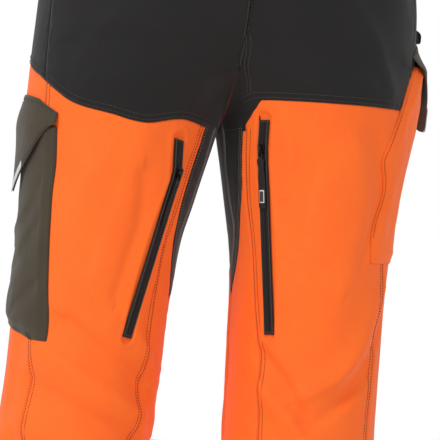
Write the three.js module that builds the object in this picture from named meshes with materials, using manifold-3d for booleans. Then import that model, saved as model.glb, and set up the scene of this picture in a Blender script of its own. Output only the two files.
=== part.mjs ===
// Chain-saw protective work trousers, hollow, standing as if worn.
// Millimetres. +Z up, the wearer faces +Y, the wearer's right is +X.
// The origin is the centre of the waist opening.
import * as THREE from "three";
import { mergeVertices } from "three/addons/utils/BufferGeometryUtils.js";
import Module from "manifold-3d";

const wasm = await Module();
wasm.setup();

// Main sizes
const riseHeight = 290; // waist to crotch
const legLength = 790; // crotch to cuff
const clothThick = 2;
const seamGap = 0.6;
const seatGap = 0.3; // between a piece and what it lies on
const waistbandHeight = 45;
const cuffHeight = 30;
const columnStep = 15; // degrees between the columns of a leg's surface
const crotchSlot = 5;

// Heights measured down from the crotch, as every height below is
const bandTop = -riseHeight;
const bandLow = bandTop + waistbandHeight;
const cuffTop = legLength - cuffHeight;

// Shape of one half, by distance below the crotch: how far out the leg's axis is,
// the half's outer edge from the centre, and the half depth front to back.
const shape = {
  below: [bandTop, bandLow, -200, -160, -113, -60, -25, 0, 23, 80, 130, 186, 241, 309, 400, 500, 640, legLength],
  axis: [0, 0, 20, 46, 76, 100, 108, 111, 112, 116, 121, 124, 126, 128, 133, 138, 146, 154],
  edge: [180, 190, 208, 216, 219, 221, 222, 222, 219, 214, 213, 213, 214.5, 215.5, 221, 226, 229, 226],
  depth: [122, 127, 131, 132, 131, 126, 118, 112, 108, 103, 100, 97, 94, 92, 91, 90, 87, 84],
};

// Seams of each leg as [degrees round from the rear towards the outside, distance below the crotch]
const sideSeam = [[75, bandLow], [67, -88], [61, -9], [54, 259], [50, 330], [50, cuffTop]];
const seams = {
  left: {
    yoke: [[-52, -2], [-32, -5], [-8, 3], [12, -2], [38, -11], [61, -31], [97, -53], [130, -65], [180, -75], [262, -75]],
    innerBack: [[-50, -2], [-47, 80], [-46, 180], [-44, 303], [-45, cuffTop]],
    gussetRear: [[-52, -2], [-49.5, 80], [-51.5, 104], [-58, 150], [-72, 195]],
    gussetFront: [[-128, -2], [-112, 80], [-90, 160], [-72, 195]],
    inseam: [[-72, 193], [-86, 300], [-90, 420], [-90, cuffTop]],
    vent: [[-31, 20], [-36.5, 55], [-23, 240]],
  },
  right: {
    yoke: [[-52, -2], [-50, -34], [-20, -38], [20, -41], [62, -43], [97, -53], [130, -65], [180, -75], [262, -75]],
    innerBack: [[-54, -2], [-58, 76], [-54.5, 181], [-47, 250], [-44, 303], [-45, cuffTop]],
    gussetRear: [[-56, -2], [-63.5, 74], [-71, 113], [-79, 150], [-92, 185]],
    gussetFront: [[-124, -2], [-116, 80], [-104, 140], [-92, 185]],
    inseam: [[-92, 183], [-90, 420], [-90, cuffTop]],
    vent: [[-40, -12], [-42, 18], [-39, 222]],
  },
};

const group = new THREE.Group();
const sideSign = { left: -1, right: 1 };
const radians = THREE.MathUtils.degToRad;

function addPiece(name, geometry, color) {
  const mesh = new THREE.Mesh(geometry, new THREE.MeshStandardMaterial({ color }));
  mesh.name = name;
  group.add(mesh);
}

// Straight lines through the points (xs, ys), read at x.
function straight(xs, ys, x) {
  const last = xs.length - 1;
  if (x <= xs[0]) return ys[0];
  if (x >= xs[last]) return ys[last];
  let i = 0;
  while (x > xs[i + 1]) i += 1;
  return ys[i] + ((ys[i + 1] - ys[i]) * (x - xs[i])) / (xs[i + 1] - xs[i]);
}

function sectionAt(below) {
  const axis = straight(shape.below, shape.axis, below);
  const edge = straight(shape.below, shape.edge, below);
  return { axis, wide: edge - axis, depth: straight(shape.below, shape.depth, below) };
}

// A point on the garment: degrees round from the rear, distance below the crotch, height off the cloth's face.
function onCloth(side, angle, below, lift) {
  const { axis, wide, depth } = sectionAt(below);
  const turn = radians(angle);
  return new THREE.Vector3(
    side * (axis + (wide + lift) * Math.sin(turn)),
    -(depth + lift) * Math.cos(turn),
    -riseHeight - below,
  );
}

// The outward direction there.
function outward(side, angle, below) {
  const { wide, depth } = sectionAt(below);
  const turn = radians(angle);
  return new THREE.Vector3((side * Math.sin(turn)) / wide, -Math.cos(turn) / depth, 0).normalize();
}

// A closed solid from a grid of points at two heights. pointAt(column, row, layer) is a corner, layer 0 the inner.
// A ring closes on itself across the columns.
function gridSolid(columns, rows, pointAt, ring = false) {
  const corners = [];
  for (let layer = 0; layer < 2; layer += 1)
    for (let row = 0; row < rows; row += 1)
      for (let column = 0; column < columns; column += 1) corners.push(...pointAt(column, row, layer).toArray());
  const at = (column, row, layer) => (layer * rows + row) * columns + (column % columns);
  const faces = [];
  const quad = (a, b, c, d) => faces.push(a, b, c, a, c, d);
  const spans = ring ? columns : columns - 1;
  for (let row = 0; row < rows - 1; row += 1)
    for (let column = 0; column < spans; column += 1) {
      const [c, r] = [column + 1, row + 1];
      quad(at(column, row, 1), at(column, r, 1), at(c, r, 1), at(c, row, 1));
      quad(at(column, row, 0), at(c, row, 0), at(c, r, 0), at(column, r, 0));
    }
  for (let column = 0; column < spans; column += 1) {
    const c = column + 1;
    const end = rows - 1;
    quad(at(column, 0, 0), at(column, 0, 1), at(c, 0, 1), at(c, 0, 0));
    quad(at(column, end, 0), at(c, end, 0), at(c, end, 1), at(column, end, 1));
  }
  if (!ring)
    for (let row = 0; row < rows - 1; row += 1) {
      const r = row + 1;
      const end = columns - 1;
      quad(at(0, row, 0), at(0, r, 0), at(0, r, 1), at(0, row, 1));
      quad(at(end, row, 0), at(end, row, 1), at(end, r, 1), at(end, r, 0));
    }
  return solidFrom(corners, faces);
}

function solidFrom(corners, faces) {
  const made = new wasm.Manifold(
    new wasm.Mesh({ numProp: 3, vertProperties: new Float32Array(corners), triVerts: new Uint32Array(faces) }),
  );
  if (made.volume() > 0) return made;
  const turned = [];
  for (let i = 0; i < faces.length; i += 3) turned.push(faces[i], faces[i + 2], faces[i + 1]);
  return new wasm.Manifold(
    new wasm.Mesh({ numProp: 3, vertProperties: new Float32Array(corners), triVerts: new Uint32Array(turned) }),
  );
}

function solidOf(geometry) {
  const plain = geometry.clone();
  plain.deleteAttribute("normal");
  plain.deleteAttribute("uv");
  const merged = mergeVertices(plain, 1e-4);
  return solidFrom(Array.from(merged.attributes.position.array), Array.from(merged.index.array));
}

function geometryOf(solid) {
  const mesh = solid.getMesh();
  const geometry = new THREE.BufferGeometry();
  geometry.setAttribute("position", new THREE.BufferAttribute(mesh.vertProperties, 3));
  geometry.setIndex(new THREE.BufferAttribute(mesh.triVerts, 1));
  geometry.computeVertexNormals();
  return geometry;
}

// Grid lines that every piece shares, so that a piece and what it lies on keep the same facets.
function linesBetween(low, high, lines) {
  return [low, ...lines.filter((line) => line > low + 0.01 && line < high - 0.01), high];
}
const columnLines = [];
for (let angle = -90; angle <= 270; angle += columnStep) columnLines.push(angle);
const rowLines = shape.below;

// A patch of cloth that follows the garment.
function patch(side, fromAngle, toAngle, fromBelow, toBelow, inner, outer) {
  const columns = linesBetween(fromAngle, toAngle, columnLines);
  const rows = linesBetween(fromBelow, toBelow, rowLines);
  return gridSolid(columns.length, rows.length, (column, row, layer) =>
    onCloth(side, columns[column], rows[row], layer ? outer : inner),
  );
}

// A thin upright wall that follows a line over the cloth: what it takes away is a seam's gap.
function seamWall(side, line, gap = seamGap, reach = 9) {
  const angles = line.map((point) => point[0]);
  const belows = line.map((point) => point[1]);
  const steps = [0];
  for (let i = 1; i < line.length; i += 1) {
    const along = Math.hypot((angles[i] - angles[i - 1]) * 1.8, belows[i] - belows[i - 1]);
    steps.push(steps[i - 1] + along);
  }
  const total = steps[steps.length - 1];
  const stops = [...steps];
  const spacing = 14;
  for (let t = spacing; t < total; t += spacing) if (steps.every((step) => Math.abs(step - t) > 4)) stops.push(t);
  stops.sort((a, b) => a - b);
  const points = stops.map((stop) => {
    const angle = straight(steps, angles, stop);
    const below = straight(steps, belows, stop);
    return { middle: onCloth(side, angle, below, 0), out: outward(side, angle, below) };
  });
  return gridSolid(2, points.length, (column, row, layer) => {
    const before = points[Math.max(row - 1, 0)].middle;
    const after = points[Math.min(row + 1, points.length - 1)].middle;
    const across = new THREE.Vector3().subVectors(after, before).cross(points[row].out).normalize();
    return points[row].middle
      .clone()
      .addScaledVector(across, (column - 0.5) * gap)
      .addScaledVector(points[row].out, layer ? reach : -reach);
  });
}

function box(sizeX, sizeY, sizeZ, x, y, z) {
  return solidOf(new THREE.BoxGeometry(sizeX, sizeY, sizeZ).translate(x, y, z));
}

const colors = {
  orange: 0xff6a28,
  black: 0x2b2826,
  olive: 0x55503f,
  zip: 0x1d1c1b,
  metal: 0xb9bcc0,
  pale: 0xd9d9d2,
  mesh: 0x3a3a38,
  pad: 0xe8e4d8,
};

// --- Cloth panels: one hollow half per side, cut apart along its seams ---

const flyHalfWidth = 7;
const flyBottom = -82;
const ventHalfWidth = 6.8;
const ventCutReach = 12;
const meshHalf = 14;
const crotchSeamBelow = -2;
const cutWide = 500; // wider and deeper than the garment
const cutDeep = 400;
const flyCutDeep = 200;
const flyCutMiddle = 140;
const slotLong = 60;
const slotTall = 22;
const slotOverCrotch = 9;

function ventLine(sideName) {
  const line = seams[sideName].vent;
  const side = sideSign[sideName];
  const points = line.map(([angle, below]) => onCloth(side, angle, below, 0));
  return { top: points[0], rest: points[1], end: points[2] };
}

// The vent's middle at a distance below the crotch: straight from its top to the slider, and from there to its end.
function ventPoint(sideName, below) {
  const { top, rest, end } = ventLine(sideName);
  const z = -riseHeight - below;
  const [a, b] = z > rest.z ? [top, rest] : [rest, end];
  return new THREE.Vector3().lerpVectors(a, b, (z - a.z) / (b.z - a.z));
}

// The outward direction across the whole vent, square to the slider's way.
function ventFrame(sideName) {
  const { rest, end } = ventLine(sideName);
  const side = sideSign[sideName];
  const line = seams[sideName].vent;
  const down = new THREE.Vector3().subVectors(end, rest).normalize();
  const out = outward(side, (line[1][0] + line[2][0]) / 2, (line[1][1] + line[2][1]) / 2);
  out.addScaledVector(down, -out.dot(down)).normalize();
  const across = new THREE.Vector3().crossVectors(down, out);
  return { down, out, across };
}

// A strip along the vent, between two distances from its middle.
function ventStrip(sideName, fromBelow, toBelow, low, high, inner, outer) {
  const { out, across } = ventFrame(sideName);
  const rest = seams[sideName].vent[1][1];
  const rows = linesBetween(fromBelow, toBelow, [rest]);
  return gridSolid(2, rows.length, (column, row, layer) =>
    ventPoint(sideName, rows[row])
      .addScaledVector(across, column ? high : low)
      .addScaledVector(out, layer ? outer : inner),
  );
}

// The mesh lies against the inside of the cloth, so it follows the leg and not the zip's straight line.
function ventBacking(sideName, fromBelow, toBelow, inner, outer) {
  const rows = linesBetween(fromBelow, toBelow, rowLines);
  return gridSolid(5, rows.length, (column, row, layer) => {
    const { axis, wide } = sectionAt(rows[row]);
    const middle = Math.abs(ventPoint(sideName, rows[row]).x);
    const turn = THREE.MathUtils.radToDeg(Math.asin((middle - axis) / wide));
    const spread = THREE.MathUtils.radToDeg((meshHalf * (column - 2)) / 2 / wide);
    return onCloth(sideSign[sideName], turn + spread, rows[row], layer ? outer : inner);
  });
}

// A place on each panel, in degrees round from the rear and distance below the crotch
const panelProbes = {
  waistband: [20, bandTop + waistbandHeight / 2],
  seat: [20, -120],
  hip: [120, -160],
  rear: [10, 400],
  front: [170, 300],
  inner: [-66, 400],
  gusset: [-90, 60],
  cuff: [20, cuffTop + cuffHeight / 2],
};
const panelColors = {
  waistband: colors.black,
  seat: colors.black,
  hip: colors.black,
  rear: colors.orange,
  front: colors.orange,
  inner: colors.orange,
  gusset: colors.black,
  cuff: colors.black,
};

function ventCut(sideName) {
  const vent = seams[sideName].vent;
  return ventStrip(sideName, vent[0][1], vent[2][1], -ventHalfWidth, ventHalfWidth, -ventCutReach, ventCutReach);
}

function cutHalf(sideName) {
  const side = sideSign[sideName];
  const lines = seams[sideName];
  const columns = columnLines.slice(0, -1);
  let half = gridSolid(
    columns.length,
    rowLines.length,
    (column, row, layer) => onCloth(side, columns[column], rowLines[row], layer ? 0 : -clothThick),
    true,
  );
  half = half.trimByPlane([side, 0, 0], seatGap);
  const crotchLine = [];
  for (let angle = -136; angle <= -46; angle += 6) crotchLine.push([angle, crotchSeamBelow]);
  const cuts = [
    box(cutWide, cutDeep, seamGap, 0, 0, -waistbandHeight),
    box(cutWide, cutDeep, seamGap, 0, 0, -riseHeight - cuffTop),
    seamWall(side, crotchLine),
    seamWall(side, lines.yoke),
    seamWall(side, sideSeam),
    seamWall(side, lines.innerBack),
    seamWall(side, lines.gussetRear),
    seamWall(side, lines.gussetFront),
    seamWall(side, lines.inseam),
    ventCut(sideName),
    box(2 * flyHalfWidth, flyCutDeep, riseHeight + flyBottom, 0, flyCutMiddle, -(riseHeight + flyBottom) / 2),
    box(crotchSlot, slotLong, slotTall, 0, 0, -riseHeight + slotOverCrotch),
  ];
  for (const cut of cuts) half = half.subtract(cut);
  return half.decompose();
}

for (const sideName of ["left", "right"]) {
  const side = sideSign[sideName];
  const bodies = cutHalf(sideName);
  for (const [panel, [angle, below]] of Object.entries(panelProbes)) {
    const middle = onCloth(side, angle, below, -clothThick / 2);
    const probe = box(3, 3, 3, middle.x, middle.y, middle.z);
    const found = bodies.find((body) => body.intersect(probe).volume() > 0.1);
    addPiece(`${panel}_${sideName}`, geometryOf(found), panelColors[panel]);
  }
}

// --- Protective layers and reinforcement on the legs ---

// Edges in degrees round from the rear and distances below the crotch
const padThick = 8;
const pad = { from: 75, to: 255, top: 12, base: cuffTop - 12 };
const kneeThick = 1.6;
const knee = { from: 135, to: 225, top: 300, base: 470 };

for (const sideName of ["left", "right"]) {
  const side = sideSign[sideName];
  const padFace = -clothThick - seatGap;
  const padding = patch(side, pad.from, pad.to, pad.top, pad.base, padFace - padThick, padFace);
  addPiece(`cut_pad_${sideName}`, geometryOf(padding), colors.pad);
  const kneePatch = patch(side, knee.from, knee.to, knee.top, knee.base, seatGap, seatGap + kneeThick);
  addPiece(`knee_patch_${sideName}`, geometryOf(kneePatch), colors.black);
}

// --- Vent zips on the backs of the thighs ---

const tapeInner = 2.1;
const tapeOuter = ventHalfWidth - seatGap;
const coilHalf = tapeInner - seatGap;
const tapeTop = -0.6;
const tapeThick = 1.2;
const coilTop = 0.6;
const meshFace = -clothThick - 1.6; // how far in from the cloth's face the mesh lies
const meshThick = 1;
const meshOver = 8; // how far the mesh runs past the zip's ends
const sliderLong = 13;
const sliderHalf = 4.2;
const sliderLow = 1.3;
const sliderHigh = 3.2;
const bailHigh = 7.4;
const bailBar = 1.5;
const bailWide = 2.4;
// A pull's metal link is a loop: its end bar lies under the bail, its arms pass on either side of it
const linkBar = 1.2; // how thick the link is, and how long its end bar
const linkHigh = bailHigh - bailBar - linkBar / 2 - 0.7; // the middle of its height
const linkAxis = 2.2; // how far down the zip from the slider's middle it turns
const linkArm = 1;
const linkHalf = bailWide / 2 + 0.4 + linkArm;
const linkOpening = 7.2; // from where it turns to the end of its opening
const linkReach = 9; // how far a vent's link runs past its slider
const tabThick = 1.6;

// Turns geometry built with x across, y down the zip and z outward into place at a point on it.
function placed(geometry, at, across, down, out) {
  return geometry.applyMatrix4(new THREE.Matrix4().makeBasis(across, down, out).setPosition(at));
}

// A zip slider: a plate with chamfered ends over the teeth, and an arched bar for its pull.
function sliderSolid() {
  const outline = new THREE.Shape();
  outline.moveTo(-sliderHalf, -sliderLong * 0.3);
  outline.lineTo(-sliderHalf * 0.7, -sliderLong * 0.5);
  outline.lineTo(sliderHalf * 0.7, -sliderLong * 0.5);
  outline.lineTo(sliderHalf, -sliderLong * 0.3);
  outline.lineTo(sliderHalf * 0.75, sliderLong * 0.5);
  outline.lineTo(-sliderHalf * 0.75, sliderLong * 0.5);
  const plate = new THREE.ExtrudeGeometry(outline, { depth: sliderHigh - sliderLow, bevelEnabled: false });
  plate.translate(0, 0, sliderLow);
  const arch = new THREE.Shape();
  const reach = sliderLong * 0.42;
  arch.moveTo(-reach, sliderHigh - 0.4);
  arch.lineTo(-reach * 0.8, bailHigh);
  arch.lineTo(reach * 0.8, bailHigh);
  arch.lineTo(reach, sliderHigh - 0.4);
  arch.lineTo(reach - bailBar, sliderHigh - 0.4);
  arch.lineTo(reach * 0.8 - bailBar, bailHigh - bailBar);
  arch.lineTo(-reach * 0.8 + bailBar, bailHigh - bailBar);
  arch.lineTo(-reach + bailBar, sliderHigh - 0.4);
  const bail = new THREE.ExtrudeGeometry(arch, { depth: bailWide, bevelEnabled: false });
  bail.translate(0, 0, -bailWide / 2).applyMatrix4(
    new THREE.Matrix4().makeBasis(new THREE.Vector3(0, 1, 0), new THREE.Vector3(0, 0, 1), new THREE.Vector3(1, 0, 0)),
  );
  return solidOf(plate).add(solidOf(bail));
}

function linkSolid(reach) {
  const plate = new THREE.Shape();
  const far = sliderLong / 2 + reach - linkAxis;
  plate.moveTo(-linkHalf, -linkBar / 2);
  plate.lineTo(linkHalf, -linkBar / 2);
  plate.lineTo(linkHalf, far);
  plate.lineTo(-linkHalf, far);
  const opening = new THREE.Path();
  const inside = linkHalf - linkArm;
  opening.moveTo(-inside, linkBar / 2);
  opening.lineTo(-inside, linkOpening);
  opening.lineTo(inside, linkOpening);
  opening.lineTo(inside, linkBar / 2);
  plate.holes.push(opening);
  const link = new THREE.ExtrudeGeometry(plate, { depth: linkBar, bevelEnabled: false });
  return solidOf(link.translate(0, linkAxis, linkHigh - linkBar / 2));
}

const vents = {
  left: { tab: 46, tabWide: 5.5 },
  right: { tab: 52, tabWide: 9 },
};

for (const sideName of ["left", "right"]) {
  const { down, out, across } = ventFrame(sideName);
  const rest = ventLine(sideName).rest;
  const { tab, tabWide } = vents[sideName];
  const line = seams[sideName].vent;
  const top = line[0][1];
  const end = line[2][1];
  const strip = (low, high, inner, outer) =>
    geometryOf(ventStrip(sideName, top + 1, end - 1, low, high, inner, outer));
  addPiece(`vent_tape_outer_${sideName}`, strip(tapeInner, tapeOuter, tapeTop - tapeThick, tapeTop), colors.zip);
  addPiece(`vent_tape_inner_${sideName}`, strip(-tapeOuter, -tapeInner, tapeTop - tapeThick, tapeTop), colors.zip);
  addPiece(`vent_coil_${sideName}`, strip(-coilHalf, coilHalf, tapeTop - tapeThick, coilTop), colors.zip);
  addPiece(
    `vent_mesh_${sideName}`,
    geometryOf(ventBacking(sideName, top - meshOver, end + meshOver, meshFace - meshThick, meshFace)),
    colors.mesh,
  );
  addPiece(
    `vent_slider_${sideName}`,
    placed(geometryOf(sliderSolid()), rest, across, down, out),
    colors.metal,
  );
  const link = linkSolid(linkReach);
  addPiece(`vent_pull_${sideName}`, placed(geometryOf(link), rest, across, down, out), colors.metal);
  const tabBody = new THREE.BoxGeometry(tabWide, tab, tabThick);
  tabBody.translate(0, sliderLong * 0.5 + linkReach + seatGap + tab / 2, linkHigh);
  addPiece(`vent_tab_${sideName}`, placed(tabBody, rest, across, down, out), colors.zip);
}

// --- Thigh pockets: a bellows tray open at the top, under a pointed flap ---

const pockets = {
  left: { rear: 45, front: 141, mouth: 18, base: 257, deep: 13, hem: -14, flapRear: 48, flapFront: 138, tip: 94, lean: 10 },
  right: { rear: 42, front: 138, mouth: -95, base: 135, deep: 13, hem: -122, flapRear: 66, flapFront: 138, tip: -24, lean: 14 },
};
const pocketThick = 2.2;
const pocketWall = 1.6; // degrees
const pocketFloor = 2.4;
const flapThick = 2;
const flapCorner = 30; // how far the flap's corners hang below its sewn edge
const trimThick = 0.8;
const hook = { from: 78, to: 108, underMouth: 12, tall: 28, thick: 0.6, off: 0.2 };

// A point on a flap: share across from its rear end to its front end, share down, and height off its inner face.
function onFlap(sideName, across, down, lift) {
  const p = pockets[sideName];
  const angle = p.flapRear + (p.flapFront - p.flapRear) * across;
  const point = 1 - Math.abs(2 * across - 1);
  const drop = flapCorner + (p.tip - p.hem - flapCorner) * point;
  const below = p.hem + drop * down;
  const overMouth = THREE.MathUtils.smoothstep(below, p.hem, p.mouth - 2) * (p.deep + 1);
  const hang = Math.max(0, below - p.mouth) / (p.tip - p.mouth);
  return onCloth(sideSign[sideName], angle, below, seatGap + 0.3 + overMouth + p.lean * hang * hang + lift);
}

function flapPiece(sideName, acrossFrom, acrossTo, downFrom, downTo, inner, outer, columns, rows) {
  return gridSolid(columns, rows, (column, row, layer) =>
    onFlap(
      sideName,
      acrossFrom + ((acrossTo - acrossFrom) * column) / (columns - 1),
      downFrom + ((downTo - downFrom) * row) / (rows - 1),
      layer ? outer : inner,
    ),
  );
}

for (const sideName of ["left", "right"]) {
  const side = sideSign[sideName];
  const p = pockets[sideName];
  const face = seatGap + p.deep;
  const outside = patch(side, p.rear, p.front, p.mouth, p.base, seatGap, face);
  const inside = patch(
    side,
    p.rear + pocketWall,
    p.front - pocketWall,
    p.mouth - 4,
    p.base - pocketFloor,
    -3,
    face - pocketThick,
  );
  const tray = outside.subtract(inside);
  addPiece(`pocket_${sideName}`, geometryOf(tray), sideName === "left" ? colors.olive : colors.orange);
  addPiece(`pocket_flap_${sideName}`, geometryOf(flapPiece(sideName, 0, 1, 0, 1, 0, flapThick, 11, 9)), colors.olive);
  const trimLow = flapThick + seatGap;
  addPiece(
    `flap_trim_${sideName}`,
    geometryOf(flapPiece(sideName, 0.3, 0.7, 0.9, 1, trimLow, trimLow + trimThick, 5, 2)),
    colors.pale,
  );
  const hookTop = p.mouth + hook.underMouth;
  const hookFace = face + hook.off;
  const strip = patch(side, hook.from, hook.to, hookTop, hookTop + hook.tall, hookFace, hookFace + hook.thick);
  addPiece(`hook_strip_${sideName}`, geometryOf(strip), colors.zip);
}

// A webbing loop sewn flat at the top of the right pocket's flap.
const webbingSize = { out: 9, across: 22, tall: 14 };
const webbingHoleSize = { across: 14, tall: 9 };
const webbingOver = 14; // how far its middle lies over the flap's sewn edge
const webbingAt = onCloth(1, 102, pockets.right.hem - webbingOver, 6.3);
const webbing = new THREE.BoxGeometry(webbingSize.out, webbingSize.across, webbingSize.tall);
webbing.translate(webbingAt.x, webbingAt.y, webbingAt.z);
const webbingHole = box(
  2 * webbingSize.out,
  webbingHoleSize.across,
  webbingHoleSize.tall,
  webbingAt.x,
  webbingAt.y,
  webbingAt.z,
);
addPiece("webbing_loop", geometryOf(solidOf(webbing).subtract(webbingHole)), colors.zip);

// --- Fly zip, on an arc that follows the front of the body ---

const flyBulge = 14; // how far the arc's middle stands out from the straight line between its ends
const flyTop = bandLow + 2;
const flyEnd = flyBottom - 4;
const flyTopDepth = 126;
const flyEndDepth = 97;
const flyTapeOuter = 6.7;
const flyTape = { inner: -1.8, outer: -0.6 };
const flyCoilTop = 0.9;
const shield = { half: 20, inner: -4.85, outer: -3.45 };
const flyRadius = (() => {
  const half = Math.hypot(flyTopDepth - flyEndDepth, flyTop - flyEnd) / 2;
  return (half * half + flyBulge * flyBulge) / (2 * flyBulge);
})();
const flyMiddle = (() => {
  const a = new THREE.Vector2(flyTopDepth, -riseHeight - flyTop);
  const b = new THREE.Vector2(flyEndDepth, -riseHeight - flyEnd);
  const half = a.distanceTo(b) / 2;
  const back = Math.sqrt(flyRadius * flyRadius - half * half);
  const way = new THREE.Vector2().subVectors(b, a).normalize();
  return new THREE.Vector2().addVectors(a, b).multiplyScalar(0.5).add(new THREE.Vector2(way.y * back, -way.x * back));
})();
const flyAngle = (depth, below) => Math.atan2(-riseHeight - below - flyMiddle.y, depth - flyMiddle.x);
const flyFrom = flyAngle(flyTopDepth, flyTop);
const flyTo = flyAngle(flyEndDepth, flyEnd);

function onFly(x, share, lift) {
  const turn = flyFrom + (flyTo - flyFrom) * share;
  return new THREE.Vector3(
    x,
    flyMiddle.x + (flyRadius + lift) * Math.cos(turn),
    flyMiddle.y + (flyRadius + lift) * Math.sin(turn),
  );
}

function flyStrip(low, high, inner, outer, from = 0, to = 1) {
  const rows = 9;
  return geometryOf(
    gridSolid(2, rows, (column, row, layer) =>
      onFly(column ? high : low, from + ((to - from) * row) / (rows - 1), layer ? outer : inner),
    ),
  );
}

addPiece("fly_tape_right", flyStrip(tapeInner, flyTapeOuter, flyTape.inner, flyTape.outer), colors.zip);
addPiece("fly_tape_left", flyStrip(-flyTapeOuter, -tapeInner, flyTape.inner, flyTape.outer), colors.zip);
addPiece("fly_coil", flyStrip(-coilHalf, coilHalf, flyTape.inner, flyCoilTop), colors.zip);
addPiece("fly_shield", flyStrip(-shield.half, shield.half, shield.inner, shield.outer), colors.black);
const flyRest = 0.06;
const flyDown = new THREE.Vector3().subVectors(onFly(0, flyRest + 0.01, 0), onFly(0, flyRest, 0)).normalize();
const flyOut = new THREE.Vector3().crossVectors(flyDown, new THREE.Vector3(-1, 0, 0)).normalize();
const flyAcross = new THREE.Vector3().crossVectors(flyDown, flyOut);
addPiece(
  "fly_slider",
  placed(geometryOf(sliderSolid()), onFly(0, flyRest, 0), flyAcross, flyDown, flyOut),
  colors.metal,
);
const flyLinkReach = 16;
const flyLink = linkSolid(flyLinkReach);
addPiece("fly_pull", placed(geometryOf(flyLink), onFly(0, flyRest, 0), flyAcross, flyDown, flyOut), colors.metal);

// --- Waist: belt loops, and the closing tab with its snap ---

const loopWide = 12;
const loopRise = 10.5;
const loopThick = 1.8;
const loopTall = waistbandHeight - 3;
const loopOff = 0.9;
const loopSpan = 40; // the height over which a loop follows the band

function loopSolid() {
  const arch = new THREE.Shape();
  const half = loopTall / 2;
  const foot = 3.4;
  const slope = 4;
  const shoulder = 6;
  arch.moveTo(-half, 0);
  arch.lineTo(-half, loopThick);
  arch.lineTo(-half + shoulder, loopRise);
  arch.lineTo(half - shoulder, loopRise);
  arch.lineTo(half, loopThick);
  arch.lineTo(half, 0);
  arch.lineTo(half - foot, 0);
  arch.lineTo(half - foot - slope, loopRise - loopThick);
  arch.lineTo(-half + foot + slope, loopRise - loopThick);
  arch.lineTo(-half + foot, 0);
  const strap = new THREE.ExtrudeGeometry(arch, { depth: loopWide, bevelEnabled: false });
  return strap.translate(0, 0, -loopWide / 2);
}

const loops = {
  belt_loop_back: [1, 0],
  belt_loop_side_left: [-1, 90],
  belt_loop_side_right: [1, 90],
  belt_loop_front_left: [-1, 165],
  belt_loop_front_right: [1, 165],
};
for (const [name, [side, angle]] of Object.entries(loops)) {
  const below = bandTop + waistbandHeight / 2;
  const out = outward(side, angle, below);
  const upper = onCloth(side, angle, below - loopSpan / 2, 0);
  const lower = onCloth(side, angle, below + loopSpan / 2, 0);
  const down = new THREE.Vector3().subVectors(lower, upper).normalize();
  const face = out.clone().addScaledVector(down, -out.dot(down)).normalize();
  const across = new THREE.Vector3().crossVectors(down, face);
  const at = onCloth(side, angle, below, loopOff);
  const strap = loopSolid();
  strap.applyMatrix4(new THREE.Matrix4().makeBasis(down, face, across).setPosition(at));
  addPiece(name, strap, colors.black);
}

const tabMargin = 4;
const tabBelow = [bandTop + tabMargin, bandLow - tabMargin];
const tab = { from: -38, to: 34, inner: 0.5, outer: 2.9 };
const snap = { radius: 7.5, inner: 3.4, outer: 5.9, x: 6 };
function bandPatch(fromX, toX, inner, outer, rows = tabBelow) {
  const columns = 7;
  return gridSolid(columns, 2, (column, row, layer) => {
    const x = fromX + ((toX - fromX) * column) / (columns - 1);
    const { wide, depth } = sectionAt(rows[row]);
    const lift = layer ? outer : inner;
    const y = (depth + lift) * Math.sqrt(1 - (x / (wide + lift)) ** 2);
    return new THREE.Vector3(x, y, -riseHeight - rows[row]);
  });
}
addPiece("waist_tab", geometryOf(bandPatch(tab.from, tab.to, tab.inner, tab.outer)), colors.black);

function disc(radius, from, to, x) {
  const below = (tabBelow[0] + tabBelow[1]) / 2;
  const { depth } = sectionAt(below);
  const slope = Math.atan2(sectionAt(tabBelow[1]).depth - sectionAt(tabBelow[0]).depth, tabBelow[1] - tabBelow[0]);
  const round = new THREE.CylinderGeometry(radius, radius, to - from, 24);
  round.translate(0, (from + to) / 2, 0).rotateX(slope);
  return round.translate(x, depth, -riseHeight - below);
}
addPiece("snap_cap", disc(snap.radius, snap.inner, snap.outer, snap.x), colors.metal);

export default group;
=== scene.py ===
# Chain-saw protective trousers: cloth, stitching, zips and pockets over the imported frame.
import math
import time
import bpy
import numpy as np
from mathutils import Matrix, Vector


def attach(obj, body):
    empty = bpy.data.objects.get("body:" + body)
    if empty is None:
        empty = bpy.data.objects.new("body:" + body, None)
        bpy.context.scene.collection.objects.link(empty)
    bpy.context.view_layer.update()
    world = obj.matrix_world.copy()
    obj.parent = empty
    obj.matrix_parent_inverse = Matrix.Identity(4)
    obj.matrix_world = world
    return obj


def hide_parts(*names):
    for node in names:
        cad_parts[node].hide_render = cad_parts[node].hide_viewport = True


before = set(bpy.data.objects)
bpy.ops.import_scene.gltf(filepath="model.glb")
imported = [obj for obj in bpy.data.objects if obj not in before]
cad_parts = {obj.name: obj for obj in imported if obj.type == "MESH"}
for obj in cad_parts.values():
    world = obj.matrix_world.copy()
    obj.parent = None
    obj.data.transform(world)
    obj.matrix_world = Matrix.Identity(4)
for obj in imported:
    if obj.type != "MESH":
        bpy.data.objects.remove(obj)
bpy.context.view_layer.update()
startTime = time.time()


def stage(text):
    print("stage:", text, round(time.time() - startTime, 1), "s", flush=True)


# camera
view = {"turn": 9.5, "roll": 5.8, "distance": 3.5, "across": 0.0133, "up": -0.3927, "width": 0.506}


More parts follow.
